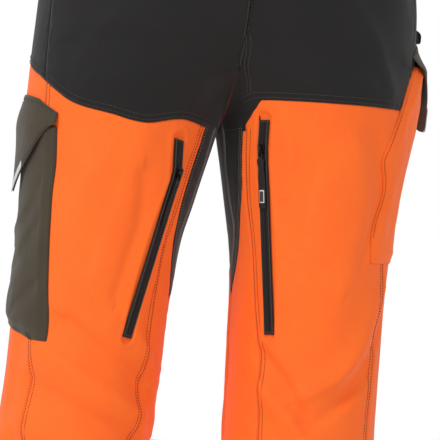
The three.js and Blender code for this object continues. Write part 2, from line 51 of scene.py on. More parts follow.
def makeCamera():
    turn, roll = math.radians(view["turn"]), math.radians(view["roll"])
    ahead = Vector((math.sin(turn), math.cos(turn), 0))
    right = Vector((math.cos(turn), -math.sin(turn), 0))
    up = Vector((0, 0, 1))
    target = right * view["across"] + up * view["up"]
    camRight = right * math.cos(roll) + up * math.sin(roll)
    camUp = up * math.cos(roll) - right * math.sin(roll)
    data = bpy.data.cameras.new("camera")
    data.sensor_width = 36
    data.lens = 36 * view["distance"] / view["width"]
    data.clip_end = 30
    cam = bpy.data.objects.new("camera", data)
    turned = Matrix((camRight, camUp, -ahead)).transposed().to_4x4()
    turned.translation = target - ahead * view["distance"]
    cam.matrix_world = turned
    bpy.context.scene.collection.objects.link(cam)
    bpy.context.scene.camera = cam


makeCamera()
stage("camera")

# the garment's surface, in millimetres
# distance below the crotch, the leg axis from the centre, the outer edge from the centre, half depth
body = {
    "below": [-290, -245, -200, -160, -113, -60, -25, 0, 23, 80, 130, 186, 241, 309, 400, 500, 640, 790],
    "axis": [0, 0, 20, 46, 76, 100, 108, 111, 112, 116, 121, 124, 126, 128, 133, 138, 146, 154],
    "edge": [180, 190, 208, 216, 219, 221, 222, 222, 219, 214, 213, 213, 214.5, 215.5, 221, 226, 229, 226],
    "depth": [122, 127, 131, 132, 131, 126, 118, 112, 108, 103, 100, 97, 94, 92, 91, 90, 87, 84],
}
rise = 290
seat = {"bridge": 34, "bridgeEnds": 95}


# cubic through the points, flat outside them
def smooth(xs, ys, x):
    xs, ys = np.asarray(xs, float), np.asarray(ys, float)
    x = np.clip(x, xs[0], xs[-1])
    i = np.clip(np.searchsorted(xs, x, side="right") - 1, 0, len(xs) - 2)
    slope = np.empty_like(ys)
    slope[1:-1] = (ys[2:] - ys[:-2]) / (xs[2:] - xs[:-2])
    slope[0], slope[-1] = (ys[1] - ys[0]) / (xs[1] - xs[0]), (ys[-1] - ys[-2]) / (xs[-1] - xs[-2])
    wide = xs[i + 1] - xs[i]
    t = (x - xs[i]) / wide
    lift = t * t * (3 - 2 * t)
    return ys[i] * (1 - lift) + ys[i + 1] * lift + t * (1 - t) * wide * ((1 - t) * slope[i] - t
                                                                         * slope[i + 1])


def ease(x, low, high):
    t = np.clip((np.asarray(x, float) - low) / (high - low), 0, 1)
    return t * t * (3 - 2 * t)


def bump(d, wide):
    return np.exp(-((np.asarray(d, float) / wide) ** 2))


def section(below):
    axis = np.maximum(0, smooth(body["below"], body["axis"], below))
    return axis, smooth(body["below"], body["edge"], below) - axis, smooth(body["below"], body["depth"],
                                                                           below)


# points on the garment: degrees round from the rear, millimetres below the crotch, millimetres off the
# cloth
def cloth(side, angle, below, lift):
    angle, below, lift = np.broadcast_arrays(*(np.asarray(v, float) for v in (angle, below, lift)))
    axis, wide, depth = section(below)
    turn = np.radians(angle)
    x = axis + (wide + lift) * np.sin(turn)
    y = -(depth + lift) * np.cos(turn)
    rounding = seat["bridge"] * ease(-below, 0, seat["bridgeEnds"]) * ease(axis, 0, 40)
    near = np.sqrt(np.maximum(x, 0) ** 2 + rounding**2)
    bridged = (depth + lift) * np.sqrt(np.maximum(0, 1 - np.clip((near - axis) / (wide + lift), -1, 1) ** 2))
    y = np.where((below < 0) & (x < axis), -np.sign(np.cos(turn)) * np.maximum(bridged, np.abs(y)), y)
    x = np.where(below < 0, np.maximum(x, 0.15), x)
    return np.stack([side * x, y, -rise - below], -1)


# the outward direction, level
def outOf(side, angle, below):
    axis, wide, depth = section(below)
    turn = np.radians(angle)
    v = np.stack([side * np.sin(turn) / wide, -np.cos(turn) / depth, np.zeros_like(turn * wide)], -1)
    return v / np.linalg.norm(v, axis=-1, keepdims=True)


# how far round the centre line lies at a height, from the rear
def centreAngle(below):
    axis, wide, _ = section(below)
    return -np.degrees(np.arcsin(np.clip(axis / wide, -1, 1)))


def line(points, below):
    return np.interp(below, [p[1] for p in points], [p[0] for p in points])


def softLine(points, below):
    return smooth([p[1] for p in points], [p[0] for p in points], below)


def acrossLine(points, angle):
    return smooth([p[0] for p in points], [p[1] for p in points], angle)


# smooth noise from -1 to 1, one lump per unit
def noise(x, y, seed):
    rng = np.random.default_rng(seed)
    grid = rng.uniform(-1, 1, (64, 64))
    x, y = np.asarray(x, float) + 1000, np.asarray(y, float) + 1000
    i, j = np.floor(x).astype(int), np.floor(y).astype(int)
    u, v = x - i, y - j
    u, v = u * u * u * (u * (6 * u - 15) + 10), v * v * v * (v * (6 * v - 15) + 10)
    g = lambda a, b: grid[a % 64, b % 64]
    return (g(i, j) * (1 - u) + g(i + 1, j) * u) * (1 - v) + (g(i,
                                                                j + 1) * (1 - u) + g(i + 1, j + 1) * u) * v


# seams
sideSeam = [[75, -245], [67, -88], [61, -9], [54, 259], [50, 330], [50, 760]]
seams = {
    "left": {
        "yoke": [[-90, -1], [-52, 0], [-32, -5], [-24, -4], [-8, 3], [2, 2], [12, -2], [38, -11], [61, -31],
                 [72, -40],
                 [97, -53], [130, -65], [180, -75], [262, -75]],
        "innerBack": [[-50, -2], [-47, 80], [-46, 180], [-44, 303], [-45, 760]],
        "gussetRear": [[-52, -2], [-49.5, 80], [-51.5, 104], [-58, 150], [-70, 195]],
        "gussetFront": [[232, -2], [248, 80], [270, 160], [290, 195]],
        "inseam": [[-70, 195], [-86, 300], [-90, 420], [-90, 760]],
        "vent": [[-31, 20], [-36.5, 55], [-23, 240]],
    },
    "right": {
        "yoke": [[-90, -1], [-56, -3], [-51, -30], [-44, -35], [-20, -38], [20, -41], [62, -43], [97, -53],
                 [130, -65],
                 [180, -75], [262, -75]],
        "innerBack": [[-54, -2], [-58, 76], [-54.5, 181], [-47, 250], [-44, 303], [-45, 760]],
        "gussetRear": [[-56, -2], [-60, 40], [-63.5, 74], [-71, 113], [-79, 150], [-90, 185]],
        "gussetFront": [[236, -2], [244, 80], [256, 140], [270, 185]],
        "inseam": [[-90, 185], [-90, 420], [-90, 760]],
        "vent": [[-40, -12], [-42, 18], [-39, 222]],
    },
}
# angles as a length round the leg, so that distances on the cloth are real
def toMillimetres(angle, below):
    _, wide, depth = section(below)
    return np.radians(angle) * (wide + depth) / 2


# distance in millimetres from places on the cloth to a line over it, and the side it lies on
def distanceTo(points, angle, below):
    best = np.full(np.shape(angle), 1e9)
    which = np.zeros(np.shape(angle))
    for (a0, b0), (a1, b1) in zip(points[:-1], points[1:]):
        scale = math.radians(1) * 98
        px, py = (angle - a0) * scale, below - b0
        dx, dy = (a1 - a0) * scale, b1 - b0
        t = np.clip((px * dx + py * dy) / (dx * dx + dy * dy), 0, 1)
        d = np.hypot(px - t * dx, py - t * dy)
        closer = d < best
        best = np.where(closer, d, best)
        which = np.where(closer, np.sign(px * dy - py * dx), which)
    return best, which


sign = {"left": -1, "right": 1}
sides = ("left", "right")


# folds
# Each fold: points [degrees, below], half width, height; a valley is negative.
folds = {
    "left": [
        ([[-46, 296], [-14, 270], [24, 232]], 13, -4.6),
        ([[-48, 334], [-6, 302], [44, 262]], 15, 5.0),
        ([[-46, 262], [-30, 240], [-10, 226]], 10, 2.6),
        ([[-44, 360], [0, 334], [48, 300]], 13, -4.0),
        ([[-12, 60], [-18, 120], [-10, 200]], 12, -2.4),
        ([[20, 60], [36, 120], [40, 200]], 18, 2.6),
        ([[-4, 10], [-2, 90], [8, 180]], 15, 1.8),
        ([[-46, 130], [-44, 180], [-38, 230]], 7, -1.8),
        ([[-52, 420], [0, 392], [60, 372]], 17, -4.0),
        ([[84, 262], [92, 312]], 30, -5.0),
    ],
    "right": [
        ([[-44, 245], [-25, 275], [-8, 312]], 10, -4.4),
        ([[-44, 285], [-18, 318], [0, 352]], 12, 4.2),
        ([[44, 232], [16, 268], [-14, 296]], 12, 3.2),
        ([[46, 262], [18, 300], [-6, 330]], 11, -3.6),
        ([[60, 165], [40, 215], [20, 262]], 14, 3.0),
        ([[66, 205], [46, 240], [24, 290]], 11, -3.0),
        ([[-30, -24], [-22, 20], [-28, 70]], 8, 1.8),
        ([[-16, -28], [-8, 30], [-16, 110]], 12, -1.8),
        ([[30, -10], [44, 60], [30, 130]], 12, -2.4),
        ([[20, 10], [30, 90], [18, 160]], 14, 1.8),
        ([[-50, 420], [0, 380], [60, 360]], 17, -4.0),
    ],
}
seatFolds = {
    "left": [
        ([[-40, -60], [-10, -40], [30, -36]], 14, 1.8),
        ([[-45, -100], [-5, -85], [45, -80]], 17, -1.8),
        ([[20, -170], [30, -110], [40, -50]], 15, 1.5),
        ([[-20, -150], [-24, -90], [-30, -30]], 12, 1.4),
    ],
    "right": [
        ([[-42, -70], [-12, -60], [24, -62]], 13, 1.8),
        ([[-36, -110], [0, -95], [50, -92]], 17, -1.8),
        ([[22, -170], [30, -120], [40, -60]], 14, 1.6),
        ([[-16, -150], [-20, -100], [-28, -52]], 12, -1.4),
    ],
}


def foldLift(side, angle, below):
    name = "left" if side < 0 else "right"
    total = np.zeros(np.broadcast(angle, below).shape)
    for points, wide, high in folds[name] + seatFolds[name]:
        d, which = distanceTo(points, angle, below)
        steep = np.where(which > 0, wide * 0.7, wide * 1.3)
        total = total + 1.35 * high * bump(d, steep)
    seed = 3 if side < 0 else 7
    x = toMillimetres(angle, below)
    total = total + 1.3 * noise(x / 62, below / 105, seed) + 0.5 * noise(x / 26 + below / 90, below / 44,
                                                                         seed + 1)
    knees = ease(below, 280, 380) * (1 - ease(below, 460, 640))
    return total + knees * 2.6 * noise(x / 70, below / 34 + x / 120, seed + 2)


# the vent zips' own straight frames
zipper = {"slider": 13, "linkHigh": 4.6, "linkReach": 9, "bail": 7.4}


# top, resting and lower points of a vent zip, and its down, out and across directions
def ventFrame(sideName):
    side, points = sign[sideName], seams[sideName]["vent"]
    top, rest, end = (flatCloth(side, a, b) for a, b in points)
    down = (end - rest) / np.linalg.norm(end - rest)
    out = outOf(side, (points[1][0] + points[2][0]) / 2, (points[1][1] + points[2][1]) / 2)
    out = out - down * (out @ down)
    out = out / np.linalg.norm(out)
    return top, rest, end, down, out, np.cross(down, out)


# a point on the straight-edged shape that the zips were laid out on
def flatCloth(side, angle, below):
    axis, edge, depth = (np.interp(below, body["below"], body[key]) for key in ("axis", "edge", "depth"))
    turn = math.radians(angle)
    return np.array([side * (axis + (edge - axis) * math.sin(turn)), -depth * math.cos(turn), -rise - below])


def ventPoint(sideName, below):
    top, rest, end, *_ = ventFrame(sideName)
    z = -rise - np.asarray(below, float)[..., None]
    upper = top + (rest - top) * (z - top[2]) / (rest[2] - top[2])
    lower = rest + (end - rest) * (z - rest[2]) / (end[2] - rest[2])
    return np.where(z > rest[2], upper, lower)


# where the zip's middle lies on the smooth cloth: degrees round, and how far off it
def ventTable(sideName):
    points = seams[sideName]["vent"]
    belows = np.linspace(points[0][1] - 4, points[2][1] + 4, 40)
    where = ventPoint(sideName, belows)
    axis, wide, depth = section(belows)
    x, lift = np.abs(where[:, 0]) - axis, np.zeros(len(belows))
    for _ in range(30):
        size = np.hypot(x / (wide + lift), where[:, 1] / (depth + lift))
        lift = lift + (size - 1) * 90
    angles = np.degrees(np.arctan2(x / (wide + lift), -where[:, 1] / (depth + lift)))
    return belows, angles, lift


vents = {name: ventTable(name) for name in ("left", "right")}


# how far the cloth stands off its plain shape: folds, kept out of the padding and flat beside the zips
def clothLift(side, angle, below):
    angle, below = np.broadcast_arrays(np.asarray(angle, float), np.asarray(below, float))
    high = foldLift(side, angle, below)
    padded = ease(angle, 62, 78) * (1 - ease(angle, 252, 262))
    high = high * (1 - padded) + padded * (0.5 * (high + np.sqrt(high * high + 1)) - 0.2)
    belows, angles, lifts = vents["left" if side < 0 else "right"]
    d, _ = distanceTo([[angles[0], belows[0]], [angles[8], belows[8]], [angles[-1], belows[-1]]], angle,
                      below)
    near = bump(d, 17)
    return high * (1 - near) + near * np.interp(below, belows, lifts)


# meshes
def newObject(name, points, faces, material, uv=None, sharp=False):
    mesh = bpy.data.meshes.new(name)
    faces = np.asarray(faces)
    points = np.asarray(points, float) / 1000
    corners = faces.shape[1]
    mesh.vertices.add(len(points))
    mesh.vertices.foreach_set("co", points.ravel())
    mesh.loops.add(faces.size)
    mesh.loops.foreach_set("vertex_index", faces.ravel().astype(np.int32))
    mesh.polygons.add(len(faces))
    mesh.polygons.foreach_set("loop_start", np.arange(0, faces.size, corners, dtype=np.int32))
    mesh.update(calc_edges=True)
    if uv is not None:
        layer = mesh.uv_layers.new(name="cloth")
        layer.data.foreach_set("uv", np.asarray(uv, float)[faces.ravel()].ravel())
    mesh.polygons.foreach_set("use_smooth", np.full(len(faces), not sharp))
    mesh.materials.append(material)
    mesh.validate()
    made = bpy.data.objects.new(name, mesh)
    bpy.context.scene.collection.objects.link(made)
    return made


def sheetFaces(rows, columns, ring=False):
    r, c = np.meshgrid(np.arange(rows - 1), np.arange(columns if ring else columns - 1), indexing="ij")
    n = (c + 1) % columns
    outer = np.stack([r * columns + c, (r + 1) * columns + c, (r + 1) * columns + n, r * columns + n],
                     -1).reshape(-1, 4)
    size = rows * columns
    inner = outer[:, ::-1] + size
    edge = [r0 * columns + c0 for r0, c0 in
            [(0, k) for k in range(columns)] + ([] if ring else [(k, columns - 1) for k in range(1, rows)])]
    if ring:
        top = np.arange(columns)
        low = (rows - 1) * columns + np.arange(columns)
        after = np.roll(top, -1), np.roll(low, -1)
        rims = [np.stack([top, after[0], after[0] + size, top + size], -1),
                np.stack([after[1], low, low + size, after[1] + size], -1)]
    else:
        loop = edge + [(rows - 1) * columns + k for k in range(columns - 2, -1, -1)]
        loop += [k * columns for k in range(rows - 2, 0, -1)]
        loop = np.array(loop)
        after = np.roll(loop, -1)
        rims = [np.stack([loop, after, after + size, loop + size], -1)]
    return np.concatenate([outer, inner, *rims])


# a closed sheet from grids of outer and inner points, rows by columns
def clothPiece(name, outer, inner, material, uv, ring=False):
    rows, columns = outer.shape[:2]
    faces = sheetFaces(rows, columns, ring)
    points = np.concatenate([outer.reshape(-1, 3), inner.reshape(-1, 3)])
    a, b, c, d = (points[faces[:, k]] for k in range(4))
    if np.sum(np.cross(b - a, c - a) * a) + np.sum(np.cross(c - a, d - a) * a) < 0:
        faces = faces[:, ::-1]  # faces point outwards
    both = np.concatenate([uv.reshape(-1, 2)] * 2)
    return newObject(name, points, faces, material, both)


# materials
# a shader socket that can be added, multiplied and so on
class Sock:

    def __init__(self, tree, socket):
        self.tree, self.socket = tree, socket

    def node(self, kind, settings=None, out=0, **inputs):
        made = self.tree.nodes.new(kind)
        for key, value in (settings or {}).items():
            setattr(made, key, value)
        for key, value in inputs.items():
            where = made.inputs[int(key[1:])] if key[0] == "i" and key[1:].isdigit() else made.inputs[key]
            if isinstance(value, Sock):
                self.tree.links.new(value.socket, where)
            else:
                where.default_value = value
        return Sock(self.tree, made.outputs[out])

    def maths(self, how, other=0.0, third=None):
        extra = {} if third is None else {"i2": third}
        return self.node("ShaderNodeMath", {"operation": how}, i0=self, i1=other, **extra)

    def __add__(self, other):
        return self.maths("ADD", other)

    def __sub__(self, other):
        return self.maths("SUBTRACT", other)

    def __mul__(self, other):
        return self.maths("MULTIPLY", other)

    def __truediv__(self, other):
        return self.maths("DIVIDE", other)

    def __rsub__(self, other):
        return self.maths("MULTIPLY", -1.0).maths("ADD", other)

    __radd__, __rmul__ = __add__, __mul__

    def sine(self):
        return self.maths("SINE")

    def between(self, low, high):
        return self.node("ShaderNodeMapRange", {"interpolation_type": "SMOOTHSTEP"}, out=0,
                         Value=self, **{"From Min": low, "From Max": high})

    def mixColour(self, a, b):
        return self.node("ShaderNodeMix", {"data_type": "RGBA"}, out=2, i0=self, i6=a, i7=b)


def linear(rgb):
    return tuple(((c / 255 / 12.92) if c / 255 <= 0.04045 else ((c / 255 + 0.055) / 1.055) ** 2.4)
                 for c in rgb) + (1,)


# woven cloth: colour varies between colour and shade, threads in millimetres
def fabric(name, colour, shade, threads=1.1, rough=0.75, sheen=0.25, deep=0.25, twill=0.0, wear=0.3,
           metal=0.0):
    material = bpy.data.materials.new(name)
    material.use_nodes = True
    tree = material.node_tree
    shader = tree.nodes["Principled BSDF"]
    coords = tree.nodes.new("ShaderNodeUVMap")
    coords.uv_map = "cloth"
    place = Sock(tree, coords.outputs[0])
    split = tree.nodes.new("ShaderNodeSeparateXYZ")
    tree.links.new(place.socket, split.inputs[0])
    u, v = Sock(tree, split.outputs[0]), Sock(tree, split.outputs[1])
    turns = 2000 * math.pi / threads
    warp = (u * turns + v * (turns * twill)).sine()
    weft = (v * turns).sine()
    weave = warp * weft * 0.5 + 0.5
    broad = place.node("ShaderNodeTexNoise", Vector=place, Scale=14.0, Detail=3.0)
    fine = place.node("ShaderNodeTexNoise", Vector=place, Scale=420.0, Detail=2.0)
    slub = place.node("ShaderNodeTexNoise", Vector=place, Scale=90.0, Detail=4.0, Roughness=0.7)
    tone = (broad.between(0.3, 0.75) * wear + fine * 0.35 + slub.between(0.35, 0.7) * wear * 0.5) * 0.9
    colours = tone.mixColour(linear(colour), linear(shade))
    tree.links.new(colours.socket, shader.inputs["Base Color"])
    roughness = fine * 0.14 + (rough - 0.07)
    tree.links.new(roughness.socket, shader.inputs["Roughness"])
    shader.inputs["Sheen Weight"].default_value = sheen
    shader.inputs["Sheen Roughness"].default_value = 0.45
    shader.inputs["Specular IOR Level"].default_value = 0.3
    shader.inputs["Metallic"].default_value = metal
    height = weave * 0.6 + fine * 0.5 + slub * 0.5
    relief = place.node("ShaderNodeBump", Strength=deep, Distance=0.0006, Height=height)
    tree.links.new(relief.socket, shader.inputs["Normal"])
    return material


def hardware(name, colour, rough, metal, grain=60.0):
    material = bpy.data.materials.new(name)
    material.use_nodes = True
    tree = material.node_tree
    shader = tree.nodes["Principled BSDF"]
    coords = tree.nodes.new("ShaderNodeTexCoord")
    place = Sock(tree, coords.outputs["Object"])
    marks = place.node("ShaderNodeTexNoise", Vector=place, Scale=grain * 12, Detail=3.0)
    tone = marks.between(0.3, 0.8)
    dark = tuple(c * 0.7 for c in colour)
    tree.links.new(tone.mixColour(linear(colour), linear(dark)).socket, shader.inputs["Base Color"])
    tree.links.new((marks * 0.2 + (rough - 0.1)).socket, shader.inputs["Roughness"])
    shader.inputs["Metallic"].default_value = metal
    return material


orange = fabric("orange_cloth", (255, 112, 30), (250, 96, 22), threads=0.9, rough=0.7, sheen=0.1, deep=0.2)
black = fabric("black_cloth", (26, 24, 23), (17, 15, 15), threads=1.2, rough=0.8, sheen=0.15, deep=0.3,
               twill=0.5)
gussetBlack = fabric("gusset_cloth", (22, 20, 19), (14, 13, 13), threads=1.4, rough=0.8, sheen=0.2, deep=0.3)
olive = fabric("olive_cloth", (70, 61, 45), (54, 47, 34), threads=1.1, rough=0.8, sheen=0.2, deep=0.3)
tape = fabric("zip_tape", (26, 24, 23), (15, 15, 15), threads=1.6, rough=0.7, sheen=0.1, deep=0.5)
meshCloth = fabric("mesh_cloth", (60, 60, 58), (42, 42, 42), threads=3.0, rough=0.85, sheen=0.1, deep=0.7)
padCloth = fabric("cut_pad_fibre", (232, 228, 214), (214, 208, 190), threads=2.4, rough=0.95, sheen=0.4,
                  deep=0.8)
# pale reflective edging and label rim; on the flap tips its near-white also stands for the glint seen there,
# a painted highlight
reflectiveAndGlint = fabric("reflective_tape", (226, 227, 222), (196, 198, 196), threads=0.8, rough=0.35, sheen=0,
                    metal=0.3)
orangeThread = hardware("orange_thread", (128, 52, 24), 0.6, 0)
darkThread = hardware("dark_thread", (70, 64, 57), 0.6, 0)
greyThread = hardware("grey_thread", (122, 116, 108), 0.6, 0)
teethPlastic = hardware("zip_teeth", (34, 33, 33), 0.35, 0)
metal = hardware("zip_metal", (70, 68, 68), 0.3, 1)
snapMetal = hardware("snap_metal", (168, 168, 166), 0.3, 1)
# light grey of the gusset welt: painted highlight along the rounded fold at the gusset's edge
weltPaintedHighlight = fabric("welt_painted_highlight", (112, 106, 98), (88, 83, 77), threads=1.0, rough=0.8, sheen=0.2)
patchRubber = hardware("patch_rubber", (52, 50, 49), 0.55, 0)
stage("materials")

# cloth panels
clothThick = 1.4
fineness = 2


# angles and distances below of a grid between two side lines and a top and bottom line
def panelGrid(side, left, right, top, bottom, columns, rows):
    v, u = np.meshgrid(np.linspace(0, 1, rows), np.linspace(0, 1, columns), indexing="ij")
    below = v * 0
    for _ in range(9):
        angle = left(below) * (1 - u) + right(below) * u
        below = top(angle) * (1 - v) + bottom(angle) * v
    return left(below) * (1 - u) + right(below) * u, below


# one cloth panel: its edges dip into the seams, its face follows the folds
def panel(name, sideName, left, right, top, bottom, size, material, lift=0.0, seam=1.0, extra=None):
    side = sign[sideName]
    columns, rows = (max(4, int(v / fineness)) for v in size)
    angle, below = panelGrid(side, left, right, top, bottom, columns, rows)
    x = toMillimetres(angle, below)
    step = lambda a: np.hypot(np.diff(x, axis=a), np.diff(below, axis=a))
    fromLeft = np.concatenate([np.zeros((rows, 1)), np.cumsum(step(1), 1)], 1)
    fromTop = np.concatenate([np.zeros((1, columns)), np.cumsum(step(0), 0)], 0)
    toEdge = np.minimum.reduce([fromLeft, fromLeft[:, -1:] - fromLeft, fromTop, fromTop[-1:] - fromTop])
    height = lift + clothLift(side, angle, below)
    pucker = noise(x / 7, below / 7, 11) * 0.45 * bump(toEdge - 6, 8)
    height = height - seam * (1 - ease(toEdge, 0, 3.5)) + pucker
    if extra:
        height = height + extra(angle, below)
    outer = cloth(side, angle, below, height)
    inner = cloth(side, angle, below, height - clothThick)
    uv = np.stack([x, below], -1) / 1000
    made = clothPiece(name, outer, inner, material, uv)
    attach(made, "trousers")
    return made


# the cloth beside a vent zip stands up a little where it is folded back
def ventLift(sideName):
    belows, angles, _ = vents[sideName]
    middle = [[angles[0], belows[0]], [angles[8], belows[8]], [angles[-1], belows[-1]]]

    def lift(angle, below):
        d, _ = distanceTo(middle, angle, below)
        return 0.9 * bump(d - 10, 3) - 2.4 * (1 - ease(d, 5.5, 8.5))
    return lift


waistTop, waistLow, cuffTop, cuffLow = -rise, -245, 760, 790
always = lambda value: (lambda other: np.full(np.shape(other), float(value)))


def area(made):
    mesh = made.data
    values = np.empty(len(mesh.polygons))
    mesh.polygons.foreach_get("area", values)
    return values.sum() / 2


# measures a panel's area and reads its cloth coordinates; nothing more is done with them
def asSheet(made, rests="trousers"):
    flatArea = area(made)
    uv = np.empty(len(made.data.loops) * 2)
    made.data.uv_layers[0].data.foreach_get("uv", uv)


for sideName in sides:
    side, lines = sign[sideName], seams[sideName]
    sideLine = lambda below: softLine(sideSeam, below)
    rearCentre = lambda below: centreAngle(below)
    frontCentre = lambda below: 180 - centreAngle(below)
    yoke = lambda angle, lines=lines: acrossLine(lines["yoke"], angle)
    innerBack = lambda below, lines=lines: softLine(lines["innerBack"], below)
    gussetRear = lambda below, lines=lines: softLine(lines["gussetRear"], below)
    gussetFront = lambda below, lines=lines: softLine(lines["gussetFront"], below)
    tip = lines["gussetRear"][-1][1]
    made = {}
    made["seat"] = panel(f"seat_{sideName}_cloth", sideName, rearCentre, sideLine, always(waistLow + 1),
                         yoke,
                         (250, 250), black, lift=0.9, seam=0.9)
    made["hip"] = panel(f"hip_{sideName}_cloth", sideName, sideLine, frontCentre, always(waistLow + 1), yoke,
                        (260, 190), black, lift=0.5)
    made["rear"] = panel(f"rear_{sideName}_cloth", sideName, innerBack, sideLine, yoke, always(cuffTop),
                         (200, 790), orange, extra=ventLift(sideName))
    made["front"] = panel(f"front_{sideName}_cloth", sideName, sideLine,
                          lambda b, f=gussetFront,
                          lines=lines: np.where(b < 0, 180 - centreAngle(b), np.where(
                              b < tip, np.minimum(f(b), 360 + line(lines["inseam"], np.maximum(b, tip))),
                              360 + line(lines["inseam"], b))),
                          yoke, always(cuffTop), (230, 588), orange)
    made["inner"] = panel(f"inner_{sideName}_cloth", sideName,
                          lambda b, g=gussetRear, lines=lines,
                          tip=tip: np.where(b < tip, g(b), line(lines["inseam"], b)),
                          innerBack, always(0), always(cuffTop), (60, 760), orange, seam=0.7)
    made["gusset"] = panel(f"gusset_{sideName}_cloth", sideName,
                           lambda b, f=gussetFront: f(b) - 360, gussetRear, always(-1), always(tip),
                           (130, 190), gussetBlack, seam=0.4, lift=0.3)
    for key, piece in made.items():
        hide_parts(f"{key}_{sideName}")
        asSheet(piece)
stage("panels")

# pieces laid on the garment
def grid(rows, columns):
    return np.meshgrid(np.linspace(0, 1, rows), np.linspace(0, 1, columns), indexing="ij")


def finishPiece(made, node, bodyName="trousers", held="hung"):
    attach(made, bodyName)
    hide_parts(node)
    if held:
        asSheet(made)
    return made


# a piece between two heights over the cloth
def layered(name, sideName, angle, below, outerLift, innerLift, material, follow=1.0):
    side = sign[sideName]
    base = clothLift(side, angle, below) * follow
    uv = np.stack([toMillimetres(angle, below), below + 0 * angle], -1) / 1000
    return clothPiece(name, cloth(side, angle, below, base + outerLift),
                      cloth(side, angle, below, base + innerLift),
                      material, uv)


# a piece set out flat: x across, y down and heights out, in millimetres, from a point
def framed(name, at, across, down, out, x, y, outer, inner, material):
    place = lambda z: at + across * x[..., None] + down * y[..., None] + out * z[..., None]
    return clothPiece(name, place(outer), place(inner), material, np.stack([x, y], -1) / 1000)


band = {"thick": 2.6, "wave": 0.5}
for sideName in sides:
    v, u = grid(16, 110)
    below = waistTop + 45 * v
    angle = 0.06 + 179.88 * u
    rib = (band["wave"] * noise(u * 30, v * 2, 5)
           - 0.8 * bump((v - 0.09) * 45, 1.2) - 0.8 * bump((v - 0.91) * 45, 1.2))
    edge = -1.2 * (1 - ease(np.minimum(v, 1 - v) * 45, 0, 2))
    side = sign[sideName]
    uv = np.stack([toMillimetres(angle, below), below], -1) / 1000
    made = clothPiece(f"waistband_{sideName}_cloth", cloth(side, angle, below, 0.4 + rib + edge),
                      cloth(side, angle, below, -2.2), black, uv)
    finishPiece(made, f"waistband_{sideName}")
    v, u = grid(14, 90)
    below = cuffTop + 0.5 + (cuffLow - cuffTop - 0.5) * v
    angle = -90 + 360 * u[:, :-1]
    below = below[:, :-1]
    hem = (0.5 - 0.9 * bump((v[:, :-1] - 0.82) * 30, 1.2)
           - 1.3 * (1 - ease(np.minimum(v, 1 - v)[:, :-1] * 30, 0, 2.2)))
    uv = np.stack([toMillimetres(angle, below), below], -1) / 1000
    made = clothPiece(f"cuff_{sideName}_cloth", cloth(side, angle, below, hem),
                      cloth(side, angle, below, -2),
                      orange, uv, ring=True)
    finishPiece(made, f"cuff_{sideName}")

knee = {"from": 135, "to": 225, "top": 300, "base": 470, "thick": 1.9, "rows": 7}
pad = {"from": 75, "to": 255, "top": 12, "base": 748, "near": -2.5, "far": -10.2, "channel": 62}
for sideName in sides:
    v, u = grid(80, 64)
    angle = knee["from"] + (knee["to"] - knee["from"]) * u
    below = knee["top"] + (knee["base"] - knee["top"]) * v
    fromEdge = np.minimum(np.minimum(u, 1 - u) * 165, np.minimum(v, 1 - v) * 170)
    quilt = 1 - bump(((v * knee["rows"]) % 1 - 0.5) * 24, 2.2)
    thick = knee["thick"] * (0.35 + 0.65 * ease(fromEdge, 0, 3)) * (0.55 + 0.45 * quilt) + 0.3
    finishPiece(layered(f"knee_patch_{sideName}_cloth", sideName, angle, below, thick, 0 * thick - 0.2,
                        black),
                f"knee_patch_{sideName}")
    v, u = grid(150, 60)
    angle = pad["from"] + (pad["to"] - pad["from"]) * u
    below = pad["top"] + (pad["base"] - pad["top"]) * v
    fromEdge = np.minimum(np.minimum(u, 1 - u) * 300, np.minimum(v, 1 - v) * 736)
    plump = ease(fromEdge, 0, 14) * (1 - 0.6 * bump(((below / pad["channel"]) % 1 - 0.5) * pad["channel"],
                                                    4))
    middle = (pad["near"] + pad["far"]) / 2
    half = (pad["near"] - pad["far"]) / 2 * (0.2 + 0.8 * plump)
    made = layered(f"cut_pad_{sideName}_quilt", sideName, angle, below, middle + half, middle - half,
                   padCloth, follow=0)
    finishPiece(made, f"cut_pad_{sideName}", held=None)
# a rounded bead along each gusset's rear edge; its light grey is painted highlight on the fold
welt = {
    "left": [[-66, -4], [-66, 60], [-64, 120], [-68, 165], [-74, 193]],
    "right": [[-77, -11], [-76, 8], [-79, 42], [-79, 77], [-78, 110], [-86, 150], [-92, 184]],
}
for sideName in sides:
    v, u = grid(90, 9)
    linePoints = np.array(welt[sideName], float)
    below = linePoints[0, 1] + (linePoints[-1, 1] - linePoints[0, 1]) * v
    wavy = 0.7 * noise(below / 22, 0 * v, 51)
    angle = softLine(welt[sideName], below) + wavy + (u - 0.5) * 2.1
    high = 0.3 + 1.5 * np.sqrt(np.clip(1 - (2 * u - 1) ** 2, 0, 1)) * ease(v, 0,
                                                                           0.03) * (1 - 0.7 * ease(v, 0.85,
                                                                                                   1))
    finishPiece(layered(f"gusset_welt_{sideName}", sideName, angle, below, high, 0 * v - 0.3, weltPaintedHighlight),
                f"gusset_{sideName}", held=None)
    v, u = grid(30, 40)
    below = -46 + 58 * v
    start = np.where(below < 0, centreAngle(below) - 0.25, -93)
    angle = start + (-43 - start) * u
    finishPiece(layered(f"crotch_backing_{sideName}", sideName, angle, below, 0 * v - 1.3, 0 * v - 2.2,
                        gussetBlack),
                f"gusset_{sideName}")
stage("bands, knees and padding")

# pockets
pockets = {
    "left": {"rear": 45, "front": 141, "mouth": 18, "base": 257, "deep": 7.5, "hem": -14, "flapRear": 48,
             "flapFront": 138, "tip": 94, "lean": 4},
    "right": {"rear": 42, "front": 138, "mouth": -95, "base": 135, "deep": 11, "hem": -122, "flapRear": 66,
              "flapFront": 138, "tip": -24, "lean": 14},
}
flap = {"thick": 2.0, "stitch": 6}
